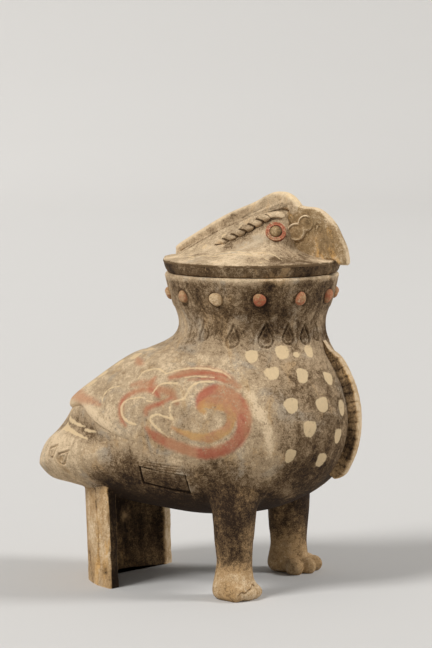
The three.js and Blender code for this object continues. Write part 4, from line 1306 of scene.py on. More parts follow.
def make_wings():
    """Both wings: a fine skin raised over the flank, round at its front and lower edges and fading above,
    with the scalloped lines standing a little proud."""
    rows, columns = 150, 250
    up, along = np.meshgrid(np.linspace(0, 1, rows), np.linspace(0, 1, columns) ** 1.05, indexing="ij")
    degrees = mix(*WING_ANGLES, along)
    nose = np.minimum(1, (degrees - WING_ANGLES[0]) / WING_NOSE)
    opened = 0.12 + 0.88 * np.sqrt(1 - (1 - nose) ** 2)
    middle = sum(WING_LEVELS) / 2
    low = mix(middle, wing_low(degrees), opened)
    level = mix(low, mix(middle, WING_LEVELS[1], opened), up)

    def edge(distance, width):
        return np.sqrt(1 - (1 - np.minimum(1, distance / width)) ** 2)

    rear = ramp(0.38, 0.6, along)
    lower = mix(ramp(-0.02, 0.3, up), edge(up, 0.1), rear)
    lift = ramp(-0.02, 0.22, along) * lower * edge(1 - along, 0.07) * (1 - up) ** 0.6
    lift = lift * mix(1, ramp(0, 0.3, along), ramp(0.45, 0.8, up))
    # A painted highlight along the rear of the lower edge, and a painted brightening over the wing's face.
    rim = hump(up - 0.06, 0.05) * rear
    painted_brightening = 0.75 * ramp(0.04, 0.25, up) * ramp(0.04, 0.2, along)
    for side, sign in SIDES:
        points, directions = on_vessel(level, sign * np.radians(degrees))
        flat = points.reshape(-1, 3)
        line = np.full(len(flat), UNPAINTED)
        for places in SCALLOPS:
            line = np.minimum(line, stroke_distance(flat, places, sign))
        raised = ramp(0.7, -0.5, line).reshape(lift.shape) * ramp(0, 0.1, lift)
        relief = jar_size("wing_relief") * lift * (1 + 0.1 * cloud(points, 22, 71))
        pressed = pit_and_scratches(points)
        relief = relief - 0.7 * ramp(0.12, 0, lift) + jar_size("line_relief") * raised - pressed
        # Painted light and shade: the raised scallop lines paler, the pit and scratches darker.
        plain = vessel_shade(points) + 1.1 * rim + 0.3 * raised - 1.5 * pressed
        marks = paint_marks(points)
        marks["shade"] = mix(plain, np.maximum(plain, 0.5), painted_brightening)
        slab(f"wing_{side}", points + directions * relief[..., None], points - directions * 2.5, marks,
             [f"wing_{side}"], flipped=sign < 0)


def make_flange():
    """The strip down the chest: a section with a blunt outer edge carried along the chest's outline, notched
    across at steps, and tapering into the neck."""
    rows, columns = 300, 46
    along = np.linspace(0, 1, rows)[:, None]
    level = mix(*FLANGE_LEVELS, along)
    foot = mix(9.5, FLANGE_TROUGH + jar_size("flange_relief"), ramp(0.02, 0.35, along))
    relief = foot * ramp(-0.03, 0.05, along) ** 0.5 * ramp(1.02, 0.72, along) ** 0.6 + 0.1
    points, directions = on_vessel(level, 0 * along)
    turn = np.linspace(-0.5, 0.5, columns)[None] * TURN
    buried = 4
    squareness = 0.36
    side = np.sign(np.sin(turn)) * np.abs(np.sin(turn)) ** squareness
    rise = np.sign(np.cos(turn)) * np.abs(np.cos(turn)) ** squareness
    notch = np.zeros(rows)
    length = np.concatenate([[0], np.cumsum(np.linalg.norm(np.diff(points[:, 0], axis=0), axis=1))])
    for i, place in enumerate(np.arange(6, length[-1] - 10, NOTCH_STEP)):
        notch += hump(length - place - 0.7 * math.sin(5 * i), 0.75)
    notch = notch[:, None] * ramp(0.25, 0.6, np.abs(side))
    width = FLANGE_WIDTH / 2 * mix(0.8, 1, ramp(0, 0.05, along))
    width = width * (1 - 0.3 * ramp(0.8, 1, along)) - 0.6 * notch
    waist = 1 - 0.14 * hump(rise - 0.1, 0.6)
    height = np.where(rise > 0, relief * rise, buried * rise)
    wander = uneven(points + 0 * turn[..., None], 0.6, 81)
    height = height + np.where(rise > 0, 0.5 * wander * ramp(1, 0.8, along), 0)
    across = width * side * waist
    rings = points + directions * height[..., None] + across[..., None] * np.array([0, 1, 0])
    # Painted light and shade: the blunt outer edge paler, the sides darker except near the foot, and the
    # notches darker.
    rim = ramp(0.72, 0.96, rise + 0.1 * cloud(rings, 9, 82))
    shade = 1.1 * rim - 1.3 * (1 - rim) * ramp(0, 0.12, along) - 0.6 * notch + 0.5 * ramp(0.85, 1, along)
    tube("chest_flange", rings[:, :-1], shade[:, :-1], [0, 0], "vessel", "flange clay")


def make_legs():
    """Both legs: rays from the leg's axis out to its field. They fan out of a point in the paw below the
    ankle and run level above it. The top melts into the belly."""
    width = jar_size("fillet")
    columns = 150
    hub = 13.0
    dips = np.linspace(-math.pi / 2, 0, 56)[1:]
    heights = np.concatenate([np.full(len(dips), hub), np.linspace(hub, LEG_TOP, 118)[1:]])
    tilts = np.concatenate([dips, np.zeros(len(heights) - len(dips))])
    melting = len(dips) + 30
    turn = round_angles(columns)
    ray = np.stack([np.cos(tilts)[:, None] * np.cos(turn), np.cos(tilts)[:, None] * np.sin(turn),
                    np.sin(tilts)[:, None] + 0 * turn], -1)
    reach = np.arange(0, 46, 0.5)
    for side, sign in SIDES:
        start = np.stack([np.full(len(heights), LEG_X), sign * (LEG_SPREAD - leg_lean(heights)), heights], -1)
        start = start[:, None]

        def field(points, side=side, sign=sign):
            return np.maximum(leg_field(points, side, sign), -points[..., 2])

        values = np.stack([field(start + ray * r) for r in reach], -1)
        last = np.argmax(values > 0, axis=-1) - 1
        beyond = values.shape[-1] - 1 - np.argmax(values[..., ::-1] < 0, axis=-1)
        last = np.clip(np.maximum(last, beyond), 0, len(reach) - 2)
        inner = np.take_along_axis(values, last[..., None], -1)[..., 0]
        outer = np.take_along_axis(values, last[..., None] + 1, -1)[..., 0]
        hit = reach[last] + 0.5 * np.clip(inner / (inner - outer), 0, 1)
        rings = start + ray * hit[..., None]
        upper = rings[melting:].reshape(-1, 3)
        rings[melting:] = melted_into_body(upper, field, width).reshape(-1, columns, 3)
        crack = np.zeros(rings.shape[:2])
        broken = np.zeros(rings.shape[:2])
        if side == "right":
            degrees, height = curve_through(PAW_CRACK, 60).T
            round_leg = (np.degrees(turn) + 180) % 360 - 180
            line = np.interp(round_leg, degrees, height) + 0.7 * np.sin(round_leg / 3.1)
            inside = ramp(degrees[0], degrees[0] + 8, round_leg)
            inside = inside * ramp(degrees[-1] + 6, degrees[-1], round_leg)
            crack = hump(rings[..., 2] - line, 0.45) * inside
            broken = ramp(0.2, -0.5, rings[..., 2] - line) * inside
            middle = np.array([LEG_X, sign * LEG_SPREAD, hub])
            rings += unit(middle - rings) * (1.0 * crack + 0.7 * broken)[..., None]
        rings[..., 2] = np.maximum(rings[..., 2], 0)
        z = rings[..., 2] + 7 * cloud(rings, 15, 41) + 3 * cloud(rings, 6, 42)
        # Painted shade: darker up the leg, where it stands under the belly, and in the paw's crack. The
        # broken part of the paw is paler.
        shade = 0.3 - 1.9 * ramp(13, 38, z) - 0.7 * hump(z - 66, 16) - 2 * crack + 0.35 * broken
        tube(f"leg_{side}", rings, shade, [-0.3, -1], "vessel", "leg clay")


def make_support():
    """The slab under the tail: its plan outline, a bent box with round corners, carried up from the ground.
    It bears an incised line and finger dimples, and melts into the tail."""
    columns, rows = 400, 120
    melting = 40
    half = SUPPORT_HALF_LENGTH
    turn = round_angles(8000)
    loop = np.stack([half * np.sign(np.cos(turn)) * np.abs(np.cos(turn)) ** 0.02,
                     SUPPORT_WALL / 2 * np.sign(np.sin(turn)) * np.abs(np.sin(turn)) ** 0.6], -1)
    along, out = even_steps(np.vstack([loop, loop[:1]]), columns + 1)[:-1].T
    height = np.concatenate([[0, 0.35], np.linspace(0.8, 92, rows - 2)])
    z = height[:, None] + 0 * along
    before_end = np.abs(along) - half
    cut = np.sign(along) * support_cut(along, out) * ramp(half - 25, half, np.abs(along))
    bend = (along + cut) / SUPPORT_MIDDLE
    radius = SUPPORT_MIDDLE + out
    x = SUPPORT_X - radius * np.cos(bend) - z * math.tan(math.radians(SUPPORT_LEAN))
    rings = np.stack([x, radius * np.sin(bend) + 0 * z, z], -1)
    outward = unit(np.stack([-np.cos(bend) * np.sign(out), np.sin(bend) * np.sign(out), 0 * bend], -1))
    outer = ramp(3, 5, np.abs(out)) * (out > 0)
    groove = outer * hump(before_end + 14 + 0.8 * np.sin(z / 9), 0.7) * ramp(10, 24, z)
    dimples = sum(outer * hump(np.hypot(before_end + inset, (z - up) / 1.5), size)
                  for inset, up, size in SUPPORT_DIMPLES)
    rough = 0.55 * uneven(rings, 0.6, 91) + 0.35 * cloud(rings * [1, 1, 0.25], 4.5, 92) * outer
    rings = rings + outward * (rough - 0.9 * groove - 2 * dimples)[..., None]
    edge_wear = 0.5 * cloud(rings, 5, 94) * ramp(half - 2.5, half, np.abs(along))
    onward = np.stack([-np.sin(bend), np.cos(bend), 0 * bend], -1)
    rings = rings + onward * (np.sign(along) * edge_wear)[..., None]
    upper = rings[melting:].reshape(-1, 3)
    width = SUPPORT_FILLET * jar_size("fillet")
    rings[melting:] = melted_into_body(upper, support_field, width).reshape(-1, columns, 3)
    # Painted light and shade: the inside of the slab darker, its near end darker and its far end paler, the
    # groove and dimples darker, and darker at the top under the tail. The rust spot inside is paler.
    inside = ramp(-2, -4, out) * ramp(half + 1, half - 3, np.abs(along))
    end = ramp(half - 1.2, half - 0.3, np.abs(along)) * ramp(4.6, 3.6, np.abs(out))
    rust = hump(np.hypot(before_end + 44, z - 42), 4) * inside
    shade = 0.45 - inside * mix(2.1, 2.9, ramp(5, 50, z)) - end * mix(2.8, -0.6, ramp(-0.3, 0.3, along))
    shade = shade + 2 * rust - 1.5 * groove - 1.2 * dimples - 0.8 * ramp(66, 84, z)
    shade = shade + 0.45 * cloud(rings, 9, 93)
    tube("tail_support", rings, shade, [-1, -1], "vessel", "support clay")


# Pieces of the lid


def rim_radius(angle):
    """The lid's rim round its axis: a circle with a hand's wander, a drawn-out nape and a chip beside it."""
    ring = 60 * np.stack([np.cos(angle), np.sin(angle), 0 * angle], -1)
    nape = hump(apart(angle, math.radians(183)), 0.05)
    chip = hump(apart(angle, math.radians(193)), 0.06)
    return (PLATE_HIGH[0] - MOUTH_X + 0.45 * cloud(ring, 22, 101) + 0.3 * cloud(ring, 6, 102) + 2.2 * nape
            - 1.6 * chip)


def make_plate():
    """The lid's plate: a turned profile that closes on itself, with a worn rim."""
    columns = 480
    angle = round_angles(columns)[None]
    flat = 0 * angle
    rim = rim_radius(angle)
    foot, hatch = 65.5, 51.0
    low, top = MOUTH_HEIGHT, PLATE_TOP
    side = np.linspace(0, 1, 22)[:, None]
    bulge = 0.7 * np.sin(np.pi * side)
    radius = np.concatenate([
        hatch + flat, 60 + flat, foot - 1.4 + flat, mix(foot - 0.4, rim - 0.4, side ** 0.9) + bulge,
        rim - 1.3, rim - 4, hatch + flat])
    height = flat + np.concatenate([
        [[low], [low], [low + 0.05]], mix(low + 0.7, top - 0.7, side),
        [[top - 0.1], [top - 0.3], [top - 0.3]]])
    rings = np.stack([radius * np.cos(angle), radius * np.sin(angle), height], -1)
    wear = 0.35 * cloud(rings, 9, 103) + 0.2 * cloud(rings, 3.5, 104)
    worn = ramp(foot - 2, foot, radius)
    rings[..., :2] *= (1 + (wear * worn / radius))[..., None]
    # Painted light and shade: the hidden faces inside darker, and a painted highlight along the top edge of
    # the rim.
    shade = np.where(worn > 0.5, 0.1 + 0.6 * cloud(rings, 12, 105), -0.4)
    shade = shade + 1.3 * ramp(top - 2.2, top - 0.6, rings[..., 2]) * worn
    torus("lid_plate", rings, shade, "lid", "plate clay")


def make_locating_ring():
    """The ring under the plate that keeps the lid in the mouth: a turned profile with a wavering foot."""
    low = MOUTH_HEIGHT - 8
    profile = [(51.3, low + 0.2), (52.2, low), (56, low), (56.9, low + 0.8), (57, MOUTH_HEIGHT - 0.05),
               (51, MOUTH_HEIGHT - 0.05)]
    rings = turned_rings(profile, round_angles(480))
    rings[..., :2] *= (1 + 0.004 * cloud(rings, 16, 106) * (rings[..., 2] < low + 2))[..., None]
    torus("lid_locating_ring", rings, -0.1 + 0.3 * cloud(rings, 10, 107), "lid", "plate clay")


def head_line(line, x):
    """A line's half width and height over the plate at x: between its straight runs and a smooth curve."""
    smooth = curve_through(line, 200)
    straight = [np.interp(smooth[:, 0], *np.array(line).T[[0, k]]) for k in (1, 2)]
    smooth = mix(smooth, np.stack([smooth[:, 0], *straight], -1), 0.6)
    return np.interp(x, smooth[:, 0], smooth[:, 1]), np.interp(x, smooth[:, 0], smooth[:, 2])


def head_grid(rows, columns):
    """The head's skin from rim to rim over the ridge: straight runs between the rim, the foot of the cheek,
    the brow and the ridge, with their corners eased, and the rim turned down over the plate's edge."""
    turn = np.linspace(-0.492, 0.492, rows) * math.pi
    x = HEAD_RADIUS * np.sin(turn)
    rim = rim_radius(np.arctan2(-np.cos(turn), np.sin(turn))) - 0.25
    edge_half = rim * np.cos(turn)
    stops = [np.maximum(np.stack([edge_half - inset, np.full(rows, drop)], -1), [0.0, -9])
             for inset, drop in ((0, -1.6), (0.1, -0.6), (0.6, 0.25), (1.6, 0.7))]
    for line, slack in ((CHEEK, 1.0), (BROW, 0.7), (RIDGE, 0.3)):
        half, height = head_line(line, x)
        half = np.minimum(half, 0.9 * slack * rim * np.cos(turn) + 0.01)
        stops.append(np.stack([half, np.where(np.abs(x) > 61, np.minimum(height, 1.6), height)], -1))
    stops = np.stack(stops, 1)
    shares = np.array([0, 0.015, 0.035, 0.06, 0.4, 0.68, 1.0])
    place = np.linspace(0, 1, columns // 2)
    half, height = (np.stack([np.interp(place, shares, row[:, k]) for row in stops]) for k in (0, 1))
    ahead = np.broadcast_to((rim * np.sin(turn))[:, None], half.shape)
    ahead = mix(ahead, x[:, None], ramp(0, 0.3, place)[None])
    right = np.stack([ahead, -half, PLATE_TOP + height], -1)
    left = right[:, :-1][:, ::-1] * [1, -1, 1]
    grid = np.concatenate([right, left], 1)
    free = np.concatenate([place, place[:-1][::-1]])
    weight = ramp(0.06, 0.14, free)
    across = eased(np.moveaxis(grid, 1, 0).copy(), 10, weight[1:-1, None, None])
    return eased(np.moveaxis(across, 0, 1).copy(), 7, weight[None, :, None]), free


def make_head():
    """The head's skin with its feather strokes, closed over a plain underside."""
    rows, columns = 220, 220
    grid, free = head_grid(rows, columns)
    out = unit(np.cross(np.gradient(grid, axis=0), np.gradient(grid, axis=1)))
    out = np.where(out[..., 2:] < 0, -out, out)
    x, y, z = np.moveaxis(grid, -1, 0)
    y, z = np.abs(y), z - PLATE_TOP
    relief = (0.8 * uneven(grid, 0.55, 111) + 0.25 * cloud(grid, 3.5, 115)) * ramp(0.05, 0.12, free)[None]
    strokes = np.zeros(x.shape)
    for (start_x, start_y), (end_x, end_y), bow in HEAD_STROKES:
        share = (x - start_x) / (end_x - start_x)
        line = mix(start_y, end_y, share) - bow * np.sin(np.pi * np.clip(share, 0, 1))
        strokes += hump(y - line, 0.8) * ramp(0, 0.08, share) * ramp(1, 0.92, share)
    root = hump(y - CREST_WIDTH / 2 - 1.2, 1.1) * ramp(-58, -50, x) * ramp(38, 30, x)
    relief = relief + 0.4 * strokes - 0.9 * root
    cream = np.full(x.shape, UNPAINTED)
    for spot_x, spot_y, radius in HEAD_SPOTS:
        cream = np.minimum(cream, np.hypot(x - spot_x, (y - spot_y) * 1.2) - radius)
    cream = np.minimum(cream, 1.5 - 2.6 * strokes)
    _, brow_height = head_line(BROW, x)
    shade_under_brow = hump(z - brow_height + 5, 4.5) * ramp(-20, -8, x) * ramp(30, 15, x)
    # Painted light and shade: darker in the crease at the crest's root, under the brow, on the cheek below it
    # and on the rim's turned-down edge, with a painted highlight just above the rim; darker low at the front.
    shade = 0.1 - 0.9 * root - 0.9 * shade_under_brow - 3.2 * ramp(0.3, -0.9, z) + 0.5 * cloud(grid, 15, 112)
    shade += 0.35 * cloud(grid, 5, 113) + 0.3 * ramp(4, 1.5, z) * ramp(0.2, 1, z)
    shade -= 0.7 * ramp(28, 34, x) * ramp(26, 10, z)
    shade -= 0.5 * ramp(1, -4, z - brow_height)
    under = grid * [0.98, 0.9, 1]
    under[..., 2] = PLATE_TOP - 0.6 + np.maximum(0, np.clip(z, 0, None) - 8) * 0.86
    # The hidden underside is darker, painted shade.
    marks = {"shade": np.append(shade.ravel(), np.full(shade.size, -0.9)), "cream": np.tile(cream.ravel(), 2)}
    skins = np.stack([grid + out * relief[..., None], under])
    faces = slab_faces(rows, columns - 1)
    piece("head_shell", skins, faces, "lid", "head clay", marks, ["head_shell"], flipped=True)


def fin(outline_points, spine, width, rings, round_width):
    """A plate pillowed from its outline to a spine inside it. Each ring lies a share of the way from the
    outline to the nearest point of the spine; its half width is a quarter circle near the edge, then level.
    Returns the rings from the right side round the edge to the left, with each point's distance from the
    edge."""
    spine_line = even_steps(np.asarray(spine, float), 300)
    _, index = nearest(outline_points, spine_line)
    target = spine_line[index]
    run = np.linalg.norm(target - outline_points, axis=1)
    share = np.linspace(0, 1, rings)[:, None] ** 1.4
    inset = share * run
    flat = mix(outline_points, target, share[..., None])
    half = width / 2 * np.sqrt(1 - (1 - np.clip(inset / round_width, 0, 1)) ** 2)
    right = np.stack([flat[..., 0], -half, flat[..., 1]], -1)
    left = right[1:] * [1, -1, 1]
    return np.concatenate([right[::-1], left]), np.concatenate([inset[::-1], inset[1:]])


def make_crest():
    """The crest: a pillowed plate under its line, thicker at its front, closed down inside the head."""
    foot = [(x, h - 3) for x, _, h in RIDGE if x < 33][::-1]
    loop = np.vstack([curve_through(CREST_LINE, 120), [(40, 36), (35, 33)], foot, [(-62.5, 1)]])
    loop = even_steps(np.vstack([loop, loop[:1]]), 421)[:-1]
    rings, inset = fin(loop, CREST_SPINE, CREST_WIDTH, 18, 3.4)
    x = rings[..., 0]
    rings[..., 1] *= 1 + 0.42 * ramp(22, 33, x) - 0.28 * ramp(-20, -60, x)
    rings[..., 2] += PLATE_TOP
    wander = 0.35 * uneven(rings, 0.4, 121)[..., None] * np.array([0.3, 1, 0.3])
    rings = rings + wander * np.sign(rings[..., 1:2] + 1e-6)
    rings[..., 2] = np.minimum(rings[..., 2], PLATE_TOP + 52.4)
    worn = ramp(2.4, 0.3, inset)
    low = ramp(5, 1.5, inset) * (1 - worn)
    # The worn edges are paler, and the front edge paler still, a painted highlight.
    shade = 0.4 + 1.0 * worn + 0.2 * low + 0.9 * ramp(29, 35, x) * ramp(4, 1, inset)
    shade = shade - 0.55 * ramp(1.6, 3.5, inset) + 0.5 * cloud(rings, 12, 122) + 0.3 * cloud(rings, 5, 123)
    tube("crest", rings, shade, [0, 0], "lid", "head clay", cream=UNPAINTED)


def make_beak():
    """The beak: a pillowed plate past the rim, with a light worn edge and three tiny rings pressed in it."""
    tip = BEAK_LINE[-1][0]
    back = [(tip + 0.1, -1.5), (tip - 1, -2.8), (72, -2.8), (70, 0), (33, 0), (29, 12), (29, 36), (33, 41.5)]
    line = curve_through(BEAK_LINE, 110)
    loop = even_steps(np.vstack([line, back, line[:1]]), 421)[:-1]
    rings, inset = fin(loop, BEAK_SPINE, BEAK_WIDTH, 30, 3.0)
    x, y, z = np.moveaxis(rings, -1, 0)
    face = ramp(2.5, 4, inset)
    sign = np.sign(y + 1e-6)
    away = [np.hypot(x - dot_x, z - dot_z) for dot_x, dot_z in BEAK_DOTS]
    dents = sum(hump(distance - 1.5, 0.5) - 0.5 * hump(distance, 0.7) for distance in away)
    hollow = 0.9 * hump(np.hypot(x - 58, z - 17), 10)
    push = -0.55 * dents * face - hollow * face + 0.3 * uneven(rings, 0.4, 131) * face
    rings[..., 1] += sign * push
    rings[..., 2] += PLATE_TOP
    edge = ramp(2.2, 0.4, inset) * ramp(36, 42, x)
    # Painted light and shade: a painted highlight along the edge, and the pressed rings darker.
    shade = 1.5 * edge - 0.9 * dents * face + 0.7 * cloud(rings, 11, 132)
    tube("beak", rings, shade, [0, 0], "lid", "beak clay")


def make_ceres():
    """The scalloped lobes at the root of the beak: two discs melted together, with a raised outline."""
    rings, columns = 26, 160
    (x0, z0, r0), (x1, z1, r1) = CERE_LOWER, CERE_UPPER

    def field(at):
        lower = np.hypot(at[..., 0] - x0, at[..., 1] - z0) - r0
        upper = np.hypot(at[..., 0] - x1, at[..., 1] - z1) - r1
        return soft_min(lower, upper, 1.2)

    hub = np.array([x0, z0]) * 0.52 + np.array([x1, z1]) * 0.48
    turn = round_angles(columns)
    ray = np.stack([np.cos(turn), np.sin(turn)], -1)
    reach = np.arange(0, 16, 0.1)
    inside = field(hub + ray[:, None] * reach[:, None]) < 0
    edge = reach[len(reach) - 1 - np.argmax(inside[:, ::-1], axis=1)]
    share = np.linspace(1, 0, rings)[:, None] ** 0.7
    flat = hub + ray[None] * (edge * share)[..., None]
    distance = -field(flat)
    lift = 1.9 * np.sqrt(1 - (1 - np.minimum(1, distance.clip(0) / 1.1)) ** 2)
    lift = lift - 0.8 * ramp(1.1, 2.2, distance) + 0.5 * ramp(2.6, 5, distance)
    lift = lift * (1 - 0.8 * ramp(46, 50, flat[..., 0])) + 2.2 * ramp(40, 31, flat[..., 0])
    # A painted highlight on the raised outline.
    rim = ramp(1.9, 0.5, distance) * ramp(51, 47, flat[..., 0])
    shade = np.concatenate([np.zeros((1, columns)), 1.6 * rim - 0.1])
    for side, sign in SIDES:
        depth = BEAK_WIDTH / 2 + 0.25 + lift
        top = np.stack([flat[..., 0], sign * depth, PLATE_TOP + flat[..., 1]], -1)
        foot = top[0] * [1, 0, 1] + [0, sign * (BEAK_WIDTH / 2 - 1.5), 0]
        grid = np.concatenate([foot[None], top])
        tube(f"cere_{side}", grid, shade, [0, 0.1], "lid", "beak clay", flipped=sign > 0)


def make_brows():
    """The twisted strips over the eyes: a flat section carried along the brow and turned as it goes, which
    pinches it into slanted lobes, and ending in a plain flat strip in front."""
    rows, columns = 260, 30
    rear, front = BROW_REACH
    x = np.linspace(rear, front, rows)
    half, height = head_line(BROW, x)
    turn = round_angles(columns)
    twist = np.clip((x - rear) / (BROW_TWISTED - rear), 0, 1)
    lobe = np.abs(np.sin(math.pi * BROW_TWISTS * twist))
    free = ramp(BROW_TWISTED + 1, BROW_TWISTED - 3, x)
    ends = ramp(rear - 1, rear + 4, x) * ramp(front + 1, front - 4, x) ** 0.5
    thick = mix(1.5, 0.9 + 2.2 * lobe ** 0.6, free) * ends
    wide = mix(3.0, 2.3 + 1.7 * lobe ** 0.5, free) * ends ** 0.6
    slant = mix(0, 2.6, free)
    gap = ramp(0.55, 0.12, lobe)[:, None] * free[:, None]
    c, s = np.cos(turn)[None], np.sin(turn)[None]
    for side, sign in SIDES:
        centre = np.stack([x, sign * (half + 0.9), PLATE_TOP + height + 0.9], -1)
        along = unit(np.gradient(centre, axis=0))
        slope = np.array([0, sign * 0.72, 0.7])
        out = unit(slope - along * (along @ slope)[:, None])
        down = np.cross(along, out)
        rings = (centre[:, None] + (wide[:, None] * c)[..., None] * down[:, None]
                 + (thick[:, None] * s)[..., None] * out[:, None]
                 + (slant[:, None] * c * -sign)[..., None] * along[:, None])
        rings = rings + 0.4 * cloud(rings, 3.2, 141)[..., None] * out[:, None]
        # Painted light and shade: darker in the gaps between the lobes, and paler on the side of each lobe
        # that faces out.
        shade = -0.8 - 2.4 * gap + 0.5 * s * (1 - gap) + 0.6 * cloud(rings, 4, 142)
        tube(f"brow_rope_{side}", rings, shade, [0, 0], "lid", "head clay", flipped=True, cream=UNPAINTED)


def cheek_frame(sign):
    """The eye's place on the steep cheek: the point, outward, forward and up along the surface."""
    x, height = EYE_PLACE

    def at(px, share):
        cheek, brow = (np.array(head_line(line, px)) for line in (CHEEK, BROW))
        half, rise = mix(cheek, brow, share)
        return np.array([px, sign * half, PLATE_TOP + rise])

    cheek, brow = head_line(CHEEK, x)[1], head_line(BROW, x)[1]
    share = (height - cheek) / (brow - cheek)
    ahead = unit(at(x + 1, share) - at(x - 1, share))
    up = unit(at(x, share + 0.1) - at(x, share - 0.1))
    out = unit(np.cross(ahead, up)) * -sign
    out = out if out[1] * sign > 0 else -out
    return at(x, share), out, ahead, unit(np.cross(out, ahead)) * -sign


def make_eyes():
    """The eyes: a flat ring scored with rays and circles, and a domed pupil standing in it. Both are turned
    profiles square to the cheek."""
    columns = 144
    turn = round_angles(columns)
    inner, outer = PUPIL_RADIUS + 0.2, EYE_RING_RADIUS
    radii = np.linspace(inner, outer - 0.5, 12)
    ring = [(inner, -3), (inner, 0.9)] + [(r, 1.45) for r in radii[1:]] + [(outer, 0.8), (outer + 0.1, -3)]
    bend = np.linspace(0, 0.5, 16)[:-1] * math.pi
    dome = [(PUPIL_RADIUS, -3)] + [(PUPIL_RADIUS * math.cos(b), 0.4 + 3.0 * math.sin(b)) for b in bend]

    def scored(radius):
        on = ramp(inner, inner + 0.5, radius) * ramp(outer, outer - 0.6, radius)
        rays = np.maximum(0, np.cos(26 * turn)) ** 6
        circle = hump(radius - mix(inner, outer, 0.55), 0.28)
        return -on * (0.28 * rays + 0.35 * circle) + 0.08 * np.sin(3 * turn) * on

    def uneven_dome(radius):
        return 0.12 * np.sin(2 * turn) * (radius / PUPIL_RADIUS)

    for side, sign in SIDES:
        point, out, ahead, up = cheek_frame(sign)
        if up[2] < 0:
            up = -up
        mirrored = np.dot(np.cross(ahead, up), out) < 0

        def turned(profile, wave, point=point, ahead=ahead, up=up, out=out):
            radius, lift = np.array(profile, float).T[..., None]
            lift = lift + wave(radius)
            rings = (point + (radius * np.cos(turn))[..., None] * ahead
                     + (radius * np.sin(turn))[..., None] * up + lift[..., None] * out)
            return rings, lift

        rings, lift = turned(ring, scored)
        # The ring is darker in its scored lines and down its sides, painted shade.
        torus(f"eye_ring_{side}", rings, (lift - 1.3) * 3 + 0.2, "lid", "eye paint", not mirrored, sharp=70)
        rings, lift = turned(dome, uneven_dome)
        # Painted light on the pupil: paler towards the top of the dome and darker on its front side.
        shade = 0.5 * (lift - 2.4) - 0.9 * ramp(0.1, 0.9, np.cos(turn))
        tube(f"eye_pupil_{side}", rings, shade, [-1, 0.3], "lid", "pupil paint", flipped=mirrored)


# Stage

CAMERA_AZIMUTH = 20.0
CAMERA_DISTANCE = 2234.72
CAMERA_HEIGHT = 428.6
CAMERA_YAW = 0.71
CAMERA_PITCH = 5.78
CAMERA_FOCUS = 2914.05
# Metres: level ground reaches past a camera on any side.
FLOOR_REACH = 9.0
PHOTO_HEIGHT = 648
SKY_COLOUR = (1, 0.985, 0.96, 1)
SKY_STRENGTH = 0.34


def make_camera():
    """A long lens at the photograph's angle: it circles the mouth's axis and looks a little down."""
    azimuth, yaw = math.radians(CAMERA_AZIMUTH), math.radians(CAMERA_AZIMUTH + CAMERA_YAW)
    data = bpy.data.cameras.new("camera")
    data.sensor_width = 36
    data.lens = CAMERA_FOCUS / PHOTO_HEIGHT * data.sensor_width
    data.clip_end = 20
    camera = bpy.data.objects.new("camera", data)
    camera.location = Vector((MOUTH_X + CAMERA_DISTANCE * math.sin(azimuth),
                              -CAMERA_DISTANCE * math.cos(azimuth), CAMERA_HEIGHT)) * MM
    camera.rotation_euler = (math.pi / 2 - math.radians(CAMERA_PITCH), 0, yaw)
    bpy.context.scene.collection.objects.link(camera)
    bpy.context.scene.camera = camera


def make_floor():
    """A plain pale sweep: level under the jar and curving up to a wall far behind it, all round."""
    rows, columns = 40, 96
    share = np.linspace(0, 1, rows)[:, None]
    turn = round_angles(columns)[None]
    radius = 0.02 + FLOOR_REACH * share
    height = 0.65 * FLOOR_REACH * ramp(0.55, 1.0, share) ** 1.3 + 0 * turn
    points = np.stack([radius * np.cos(turn), radius * np.sin(turn), height], -1).reshape(-1, 3)
    mesh = bpy.data.meshes.new("floor")
    faces = quads_of(rows, columns, wrap_columns=True) + [list(range(columns))[::-1]]
    mesh.from_pydata(points.tolist(), [], faces)
    mesh.flip_normals()
    mesh.shade_smooth()
    material = bpy.data.materials.new("floor")
    material.use_nodes = True
    shader = material.node_tree.nodes["Principled BSDF"]
    shader.inputs["Base Color"].default_value = linear(bpy.context.scene.jar_colours.floor)
    shader.inputs["Roughness"].default_value = 0.9
    mesh.materials.append(material)
    floor = bpy.data.objects.new("floor", mesh)
    bpy.context.scene.collection.objects.link(floor)


def make_light(name, towards_camera, right, up, strength, spread):
    """A broad soft lamp, aimed by how far it stands towards the camera, to its right and up."""
    azimuth = math.radians(CAMERA_AZIMUTH)
    near = Vector((math.sin(azimuth), -math.cos(azimuth), 0))
    aside = Vector((math.cos(azimuth), math.sin(azimuth), 0))
    data = bpy.data.lights.new(name, "SUN")
    data.energy = strength
    data.angle = math.radians(spread)
    lamp = bpy.data.objects.new(name, data)
    place = near * towards_camera + aside * right + Vector((0, 0, up))
    lamp.rotation_euler = place.to_track_quat("Z", "Y").to_euler()
    bpy.context.scene.collection.objects.link(lamp)


def make_stage():
    """Camera, floor, a soft key lamp from the front on the left, a second from the right, and an even sky."""
    make_camera()
    make_floor()
    make_light("key", towards_camera=0.75, right=-0.8, up=1.15, strength=2.35, spread=20)
    make_light("edge", towards_camera=0.05, right=1.0, up=0.8, strength=1.8, spread=16)
    world = bpy.data.worlds.new("studio")
    world.use_nodes = True
    sky = world.node_tree.nodes["Background"]
    sky.inputs["Color"].default_value = SKY_COLOUR
    sky.inputs["Strength"].default_value = SKY_STRENGTH
    bpy.context.scene.world = world
    bpy.context.scene.view_settings.view_transform = "Standard"


# Operators and panel


def operator(idname, label, text, *steps):
    """An operator class that runs the steps in order."""

    def execute(self, context):
        for step in steps:
            step()
        return {"FINISHED"}

    name = "JAR_OT_" + idname.split(".")[1]
    return type(name, (bpy.types.Operator,), {
        "bl_idname": idname, "bl_label": label, "__doc__": text, "bl_options": {"REGISTER", "UNDO"},
        "execute": execute})


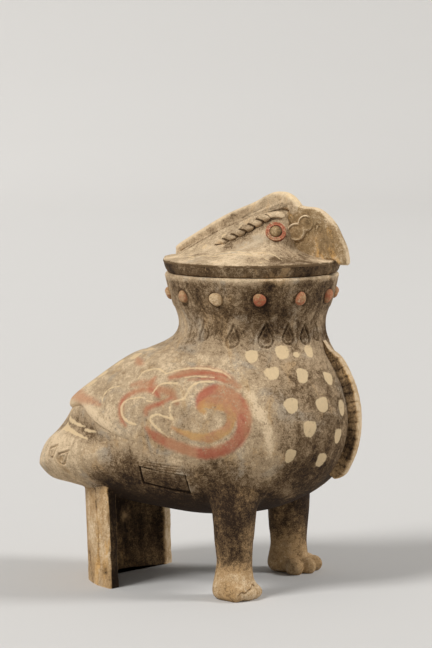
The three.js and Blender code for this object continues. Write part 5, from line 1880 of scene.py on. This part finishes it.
OPERATORS = [
    operator("jar.body", "Body", "Makes the body and the stamped skin round the tail", make_body,
             make_tail_stamps),
    operator("jar.plug", "Flank plug", "Makes the plug in the right flank and its seat", make_plug),
    operator("jar.neck", "Neck and studs", "Makes the neck, the collar and its studs", make_neck, make_studs),
    operator("jar.wings", "Wings", "Makes both painted wings", make_wings),
    operator("jar.flange", "Chest flange", "Makes the notched strip down the chest", make_flange),
    operator("jar.legs", "Legs and support", "Makes both legs and the slab under the tail", make_legs,
             make_support),
    operator("jar.lid", "Lid", "Makes the lid's plate and locating ring", make_plate, make_locating_ring),
    operator("jar.head", "Head", "Makes the head, crest and brows", make_head, make_crest, make_brows),
    operator("jar.beak", "Beak", "Makes the beak and the lobes at its root", make_beak, make_ceres),
    operator("jar.eyes", "Eyes", "Makes both eyes", make_eyes),
    operator("jar.stage", "Stage", "Makes the camera, floor and lights", make_stage),
]


class JAR_PT_panel(bpy.types.Panel):
    """Sizes, colours and the makers of each piece."""

    bl_idname = "JAR_PT_panel"
    bl_label = "Bird jar"
    bl_space_type = "VIEW_3D"
    bl_region_type = "UI"
    bl_category = "Bird jar"

    def draw(self, context):
        for group_name in ("jar_sizes", "jar_colours"):
            group_of = getattr(context.scene, group_name)
            for key in type(group_of).__annotations__:
                self.layout.prop(group_of, key)
        for maker in OPERATORS:
            self.layout.operator(maker.bl_idname)


CLASSES = [JarSizes, JarColours, *OPERATORS, JAR_PT_panel]


def register():
    """Makes the classes and the two groups of settings known to Blender."""
    for cls in CLASSES:
        bpy.utils.register_class(cls)
    bpy.types.Scene.jar_sizes = PointerProperty(type=JarSizes)
    bpy.types.Scene.jar_colours = PointerProperty(type=JarColours)


def unregister():
    """Takes away what register added."""
    del bpy.types.Scene.jar_colours
    del bpy.types.Scene.jar_sizes
    for cls in reversed(CLASSES):
        bpy.utils.unregister_class(cls)


def main():
    """Makes every piece in order, and writes the boxes of the frame and of the pieces, in metres."""
    register()
    bpy.ops.jar.body()
    bpy.ops.jar.plug()
    bpy.ops.jar.neck()
    bpy.ops.jar.wings()
    bpy.ops.jar.flange()
    bpy.ops.jar.legs()
    bpy.ops.jar.lid()
    bpy.ops.jar.head()
    bpy.ops.jar.beak()
    bpy.ops.jar.eyes()
    bpy.ops.jar.stage()
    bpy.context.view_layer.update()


if __name__ == "__main__":
    main()
